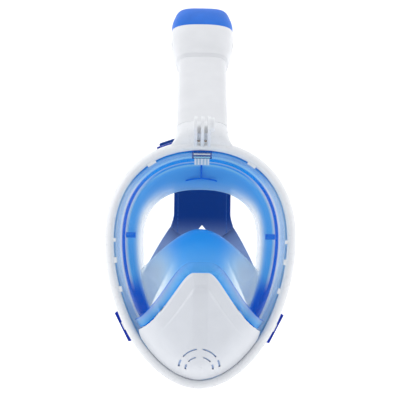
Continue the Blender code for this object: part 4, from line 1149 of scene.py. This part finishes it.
def head_shell():
    rows = []
    for grow, level in ((-0.8, 101.4), (-0.7, 101.5), (-0.1, 102.6), (0.5, 103.7), (1.0, 104.5)):
        rows.append(section(TUBE_HALF[0] / MM + grow, TUBE_HALF[1] / MM + grow, TUBE_POWER, level))
    rows += [section(wide, deep, power, level) for level, wide, deep, power in smooth_levels(HEAD_ROWS, 6)]
    start, wide, deep, power = HEAD_ROWS[-1]
    for share in (0.35, 0.65, 0.88, 0.97, 1.0):
        level = start + (SEAM_LEVEL / MM - start) * share
        lip = 0.5 if share == 1.0 else 0.0
        rows.append(seam_slant(section(wide - 0.2 * share - lip, deep - lip, power, level), share))
    made = snorkel_skin("head_shell", rows, "white")
    port = rounded(6.0 * MM, 2.3 * MM, 1.0 * MM, (0.0, 132.3 * MM))
    for low, high in ((-40.0 * MM, -20.0 * MM), (20.0 * MM, 40.0 * MM)):
        combine(made, prism_mesh(port, low, high, SNORKEL @ SIDEWAYS))
    for k in (-1, 0, 1):
        slot = rounded(1.6 * MM, 8.0 * MM, 1.5 * MM, (k * 8.0 * MM, 152.0 * MM))
        combine(made, prism_mesh(slot, 10.0 * MM, 30.0 * MM, SNORKEL @ BACKWARDS))
    soften(made, 0.4 * MM, 3, 40.0)
    apply_modifiers(made)
    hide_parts("dry_top_head")


def cap_shell():
    rows = []
    for gap, shrink in ((0.6, 0.5), (0.9, 0.1), (1.6, 0.0)):
        half = (SEAM_HALF[0] - shrink * MM, SEAM_HALF[1] - shrink * MM)
        rows.append(seam_slant(oval(half, 2.6, SEAM_LEVEL + gap * MM, 128)))
    first = rows[-1]
    upper = [section(wide, deep, power, level) for level, wide, deep, power in smooth_levels(CAP_ROWS, 6)]
    for step in range(1, 6):
        t = step / 6.0
        swell = 0.03 * math.sin(math.pi * t)
        rows.append([a.lerp(b, t) + Vector((a.x, a.y, 0.0)) * swell for a, b in zip(first, upper[0])])
    made = snorkel_skin("cap_shell", rows + upper, "cap", Vector((0.0, 0.0, CAP_TOP)))
    soften(made, 0.4 * MM, 3, 60.0)
    apply_modifiers(made)
    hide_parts("dry_top_cap")


# Harness.


def clip_frame(name):
    """A clip's hinge matrix: local X along the frame's edge, Y back past the head, Z outwards."""
    side, share, _, inset, lean = CLIPS[name]
    k = round(share * DENSE / 2)
    k = k if side > 0 else DENSE - k
    spot = OUTLINE[k] + inward(OUTLINE, k) * inset
    hinge = place(spot.x, spot.y, -(10.4 * MM + KNUCKLE_RADIUS + 0.6 * MM))
    before, after = OUTLINE[k - 16], OUTLINE[(k + 16) % DENSE]
    along = (place(after.x, after.y, 0.0) - place(before.x, before.y, 0.0)).normalized()
    out = along.cross(Vector((0.0, 1.0, 0.0))).normalized()
    back = out.cross(along)
    turn = Matrix((along, back, out)).transposed().to_4x4()
    return Matrix.Translation(hinge) @ turn @ Matrix.Rotation(math.radians(lean), 4, "X")


def clip_shell(name):
    turn = clip_frame(name)
    across = turn @ ALONG_X
    half = CLIPS[name][2] / 2.0
    shape = rounded(half, CLIP_LENGTH / 2.0, 3.0 * MM, (0.0, CLIP_LENGTH / 2.0 - 2.0 * MM))
    plate = prism_mesh(shape, CLIP_TOP - CLIP_WALL, CLIP_TOP, turn)
    made = piece("clip_shell_" + name, *plate, "clip", body="clip_" + name)
    barrel = circle(KNUCKLE_RADIUS, 40)
    combine(made, prism_mesh(barrel, -half + 0.5 * MM, half - 0.5 * MM, across), "UNION")
    gap = LUG_HALF_WIDTH + 0.5 * MM
    reach = KNUCKLE_RADIUS * 1.4
    relief = rectangle(-CLIP_TOP - 1.0 * MM, 9.0 * MM, -reach, reach)
    slot = rounded(half - 3.4 * MM, 2.3 * MM, 1.0 * MM, (0.0, CLIP_LENGTH - 8.6 * MM))
    recess = rounded(half - 3.0 * MM, 4.0 * MM, 1.6 * MM, (0.0, 9.4 * MM))
    combine(made, prism_mesh(relief, -gap, gap, across))
    combine(made, prism_mesh(circle(1.5 * MM, 24), -0.03, 0.03, across))
    combine(made, prism_mesh(slot, -5.0 * MM, 9.0 * MM, turn))
    combine(made, prism_mesh(recess, CLIP_TOP - 0.5 * MM, CLIP_TOP + 2.0 * MM, turn))
    bridge = rounded(half - 0.4 * MM, 2.7 * MM, 1.2 * MM, (0.0, 2.3 * MM))
    join(made, [helper(*prism_mesh(bridge, CLIP_TOP - 0.3 * MM, CLIP_TOP + 1.5 * MM, turn))])
    soften(made, 0.45 * MM, 3, 35.0)
    apply_modifiers(made)
    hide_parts("clip_" + name)


def pad_depth(x, z):
    return PAD_Y - 6.0 * x * x - 2.2 * (z - 45.0 * MM) ** 2


def add_weave(made, spots_uv):
    """UVs in metres for the weave, from one (u, v) for each vertex."""
    mesh = made.data
    layer = mesh.uv_layers.new(name="weave")
    for loop in mesh.loops:
        layer.data[loop.index].uv = spots_uv[loop.vertex_index]


def lens_reflection_tone(z):
    """The tone of the webbing: a painted reflection of the lens, pale lavender towards the pad's lower legs.
    """
    return mix((0.0, 0.0, 0.0), (0.34, 0.43, 0.66), fade(22.0, -18.0, z))


def harness_pad():
    columns, rows = 48, 48
    spots, uvs = [], []
    for r in range(rows + 1):
        for c in range(columns + 1):
            u = 2.0 * c / columns - 1.0
            top = PAD_TOP - 4.0 * MM * abs(u) ** 6
            z = top + (float(np.interp(abs(u), *PAD_FOOT)) * MM - top) * r / rows
            x = u * (PAD_HALF_WIDTH + 5.0 * MM * fade(24.0, 0.0, z))
            spots.append(Vector((x + PAD_SHIFT, pad_depth(x, z), z)))
            uvs.append((x, z))
    faces = grid_faces(rows + 1, columns + 1, closed=False)
    # The pad's tone is the painted reflection of the lens, paler towards its lower legs.
    made = piece("pad_shell", spots, faces, "fabric", tones=[lens_reflection_tone(z) for _, z in uvs])
    add_weave(made, uvs)
    thicken(made, PAD_THICKNESS)
    soften(made, 0.8 * MM, 3, 50.0)
    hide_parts("harness_pad")


def ribbon(name, path, acrosses, half):
    """A flat strap along a path, with rounded edges and the weave running along it."""
    edge = [(-1.0, -0.5), (-0.96, -1.0), (0.0, -1.0), (0.96, -1.0), (1.0, -0.5)]
    edge += [(-a, -b) for a, b in edge]
    rows, uvs, tones = [], [], []
    length = 0.0
    for j, spot in enumerate(path):
        ahead = path[min(j + 1, len(path) - 1)] - path[max(j - 1, 0)]
        if j:
            length += (spot - path[j - 1]).length
        face = ahead.cross(acrosses[j]).normalized()
        across = face.cross(ahead).normalized()
        rows.append([spot + across * half * a + face * STRAP_THICKNESS / 2.0 * b for a, b in edge])
        uvs += [(half * a, length) for a, b in edge]
        # The painted lens reflection dies away along the strap, from 80 to 120 mm.
        tones += [mix(lens_reflection_tone(spot.z), (0.0, 0.0, 0.0), fade(80.0, 120.0, length))] * len(edge)
    made = piece(name, *loft_mesh(rows), "fabric", body=None, tones=tones)
    add_weave(made, uvs)
    return made


def strap(name):
    """A strap from the pad to its clip, through the clip's slot and folded back on itself."""
    turn = clip_frame(name)
    side = 1.0 if "right" in name else -1.0
    if "upper" in name:
        x, z, half = side * 16.0 * MM, PAD_TOP - 3.0 * MM, 7.6 * MM
        pull = Vector((0.0, -3.0 * MM, 28.0 * MM))
        start_across = Vector((1.0, 0.0, 0.0))
    else:
        x, z, half = side * (PAD_HALF_WIDTH - 8.0 * MM), 7.0 * MM, 11.0 * MM
        pull = Vector((side * 20.0 * MM, -4.0 * MM, -26.0 * MM))
        start_across = Vector((20.0, 0.0, 16.0 * side)).normalized()
    start = Vector((x + PAD_SHIFT, pad_depth(x, z) + 2.6 * MM, z))
    end_across = turn.to_3x3() @ Vector((1.0, 0.0, 0.0))
    if end_across.dot(start_across) < 0.0:
        end_across.negate()
    tail = [turn @ Vector((0.0, y * MM, z * MM)) for y, z in STRAP_TAIL]
    reach = turn.to_3x3() @ Vector((0.0, 30.0 * MM, 2.0 * MM))
    steps = 36
    path = [bezier(start, start + pull, tail[0] + reach, tail[0], k / steps) for k in range(steps)]
    acrosses = [start_across.lerp(end_across, ease(0.0, 1.0, k / steps)).normalized() for k in range(steps)]
    fold = smooth_levels([tuple(p) for p in tail], 4)
    path += [Vector(p) for p in fold]
    made = ribbon("strap_shell_" + name, path, acrosses + [end_across] * len(fold), half)
    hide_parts("strap_" + name)
    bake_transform(made)


# CAD nodes that stay.


def dress_nodes():
    """Better materials for the CAD nodes that stay."""
    dressed = {
        "white": "rear_frame inhale_seat_left inhale_seat_right purge_seat valve_seat valve_lever",
        "valve": "inhale_flap_left inhale_flap_right purge_flap exhaust_flap_left exhaust_flap_right "
        "perimeter_gasket",
        "duct": "inlet_duct air_deflector pocket_post_left pocket_post_right seal_disc socket_gasket",
        "brass": "mount_nut",
        "steel": "lever_pin clip_pin_upper_left clip_pin_upper_right clip_pin_lower_left "
        "clip_pin_lower_right",
        "foam": "float_block",
    }
    for finish, names in dressed.items():
        for name in names.split():
            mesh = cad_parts[name].data
            mesh.materials.clear()
            mesh.materials.append(FINISHES[finish][0])


# Camera, light and floor.


def stage():
    """A plain pale floor that sweeps up behind the mask, a pale sky and soft lights."""
    scene = bpy.context.scene
    scene.view_settings.view_transform = "Standard"
    world = bpy.data.worlds.new("studio")
    world.use_nodes = True
    scene.world = world
    background = world.node_tree.nodes["Background"]
    fall = mapped(world, coordinate(world, "Generated", "Y"), From_Min=-1.0, From_Max=0.0)
    link(world, ramp(world, fall, SKY), background.inputs["Color"])
    background.inputs["Strength"].default_value = 1.18
    material, shader = shader_of("floor_white", (0.95, 0.95, 0.95), 0.8, Specular_IOR_Level=0.1)
    shader.inputs["Emission Color"].default_value = (1.0, 1.0, 1.0, 1.0)
    depth = coordinate(material, "Object", "Y")
    glow = mapped(material, depth, From_Min=0.4, From_Max=1.4, To_Min=0.03, To_Max=0.36)
    link(material, glow, shader.inputs["Emission Strength"])
    mesh = bpy.data.meshes.new("floor")
    points = [(x, y, z) for y, z in FLOOR for x in (-30.0, 30.0)]
    mesh.from_pydata(points, [], [(2 * k, 2 * k + 1, 2 * k + 3, 2 * k + 2) for k in range(len(FLOOR) - 1)])
    mesh.materials.append(material)
    mesh.shade_smooth()
    floor = bpy.data.objects.new("floor", mesh)
    scene.collection.objects.link(floor)
    for name, x, energy in (("left", -1.0, 2.0), ("right", 1.0, 0.8)):
        light = bpy.data.objects.new("soft_" + name, bpy.data.lights.new("soft_" + name, "AREA"))
        light.data.energy = energy
        light.data.size = 0.9
        light.location = (x, -0.2, 0.5)
        light.rotation_euler = (Vector((0.0, 0.0, 0.05)) - light.location).to_track_quat("-Z", "Y").to_euler()
        scene.collection.objects.link(light)


def camera():
    scene = bpy.context.scene
    data = bpy.data.cameras.new("camera")
    data.sensor_width = 36.0
    data.lens = 36.0 * CAMERA_DISTANCE / CAMERA_WIDTH
    made = bpy.data.objects.new("camera", data)
    made.location = (CAMERA_SIDE, FRAME_Y - CAMERA_DISTANCE, CAMERA_AIM[1])
    aim = Vector((CAMERA_AIM[0], FRAME_Y, CAMERA_AIM[1])) - made.location
    turn = aim.to_track_quat("-Z", "Y").to_matrix().to_4x4()
    made.rotation_euler = (turn @ Matrix.Rotation(CAMERA_ROLL, 4, "Z")).to_euler()
    scene.collection.objects.link(made)
    scene.camera = made


def main():
    camera()
    stage()
    dress_nodes()
    front_shell()
    mount_screws()
    lens_shell()
    cover_shell()
    window_lip()
    duct_dress()
    vent_baffle()
    foot_line()
    skirt_shell()
    pocket_shell()
    tube_shell()
    head_shell()
    cap_shell()
    for name in CLIPS:
        clip_shell(name)
        strap(name)
    harness_pad()


main()
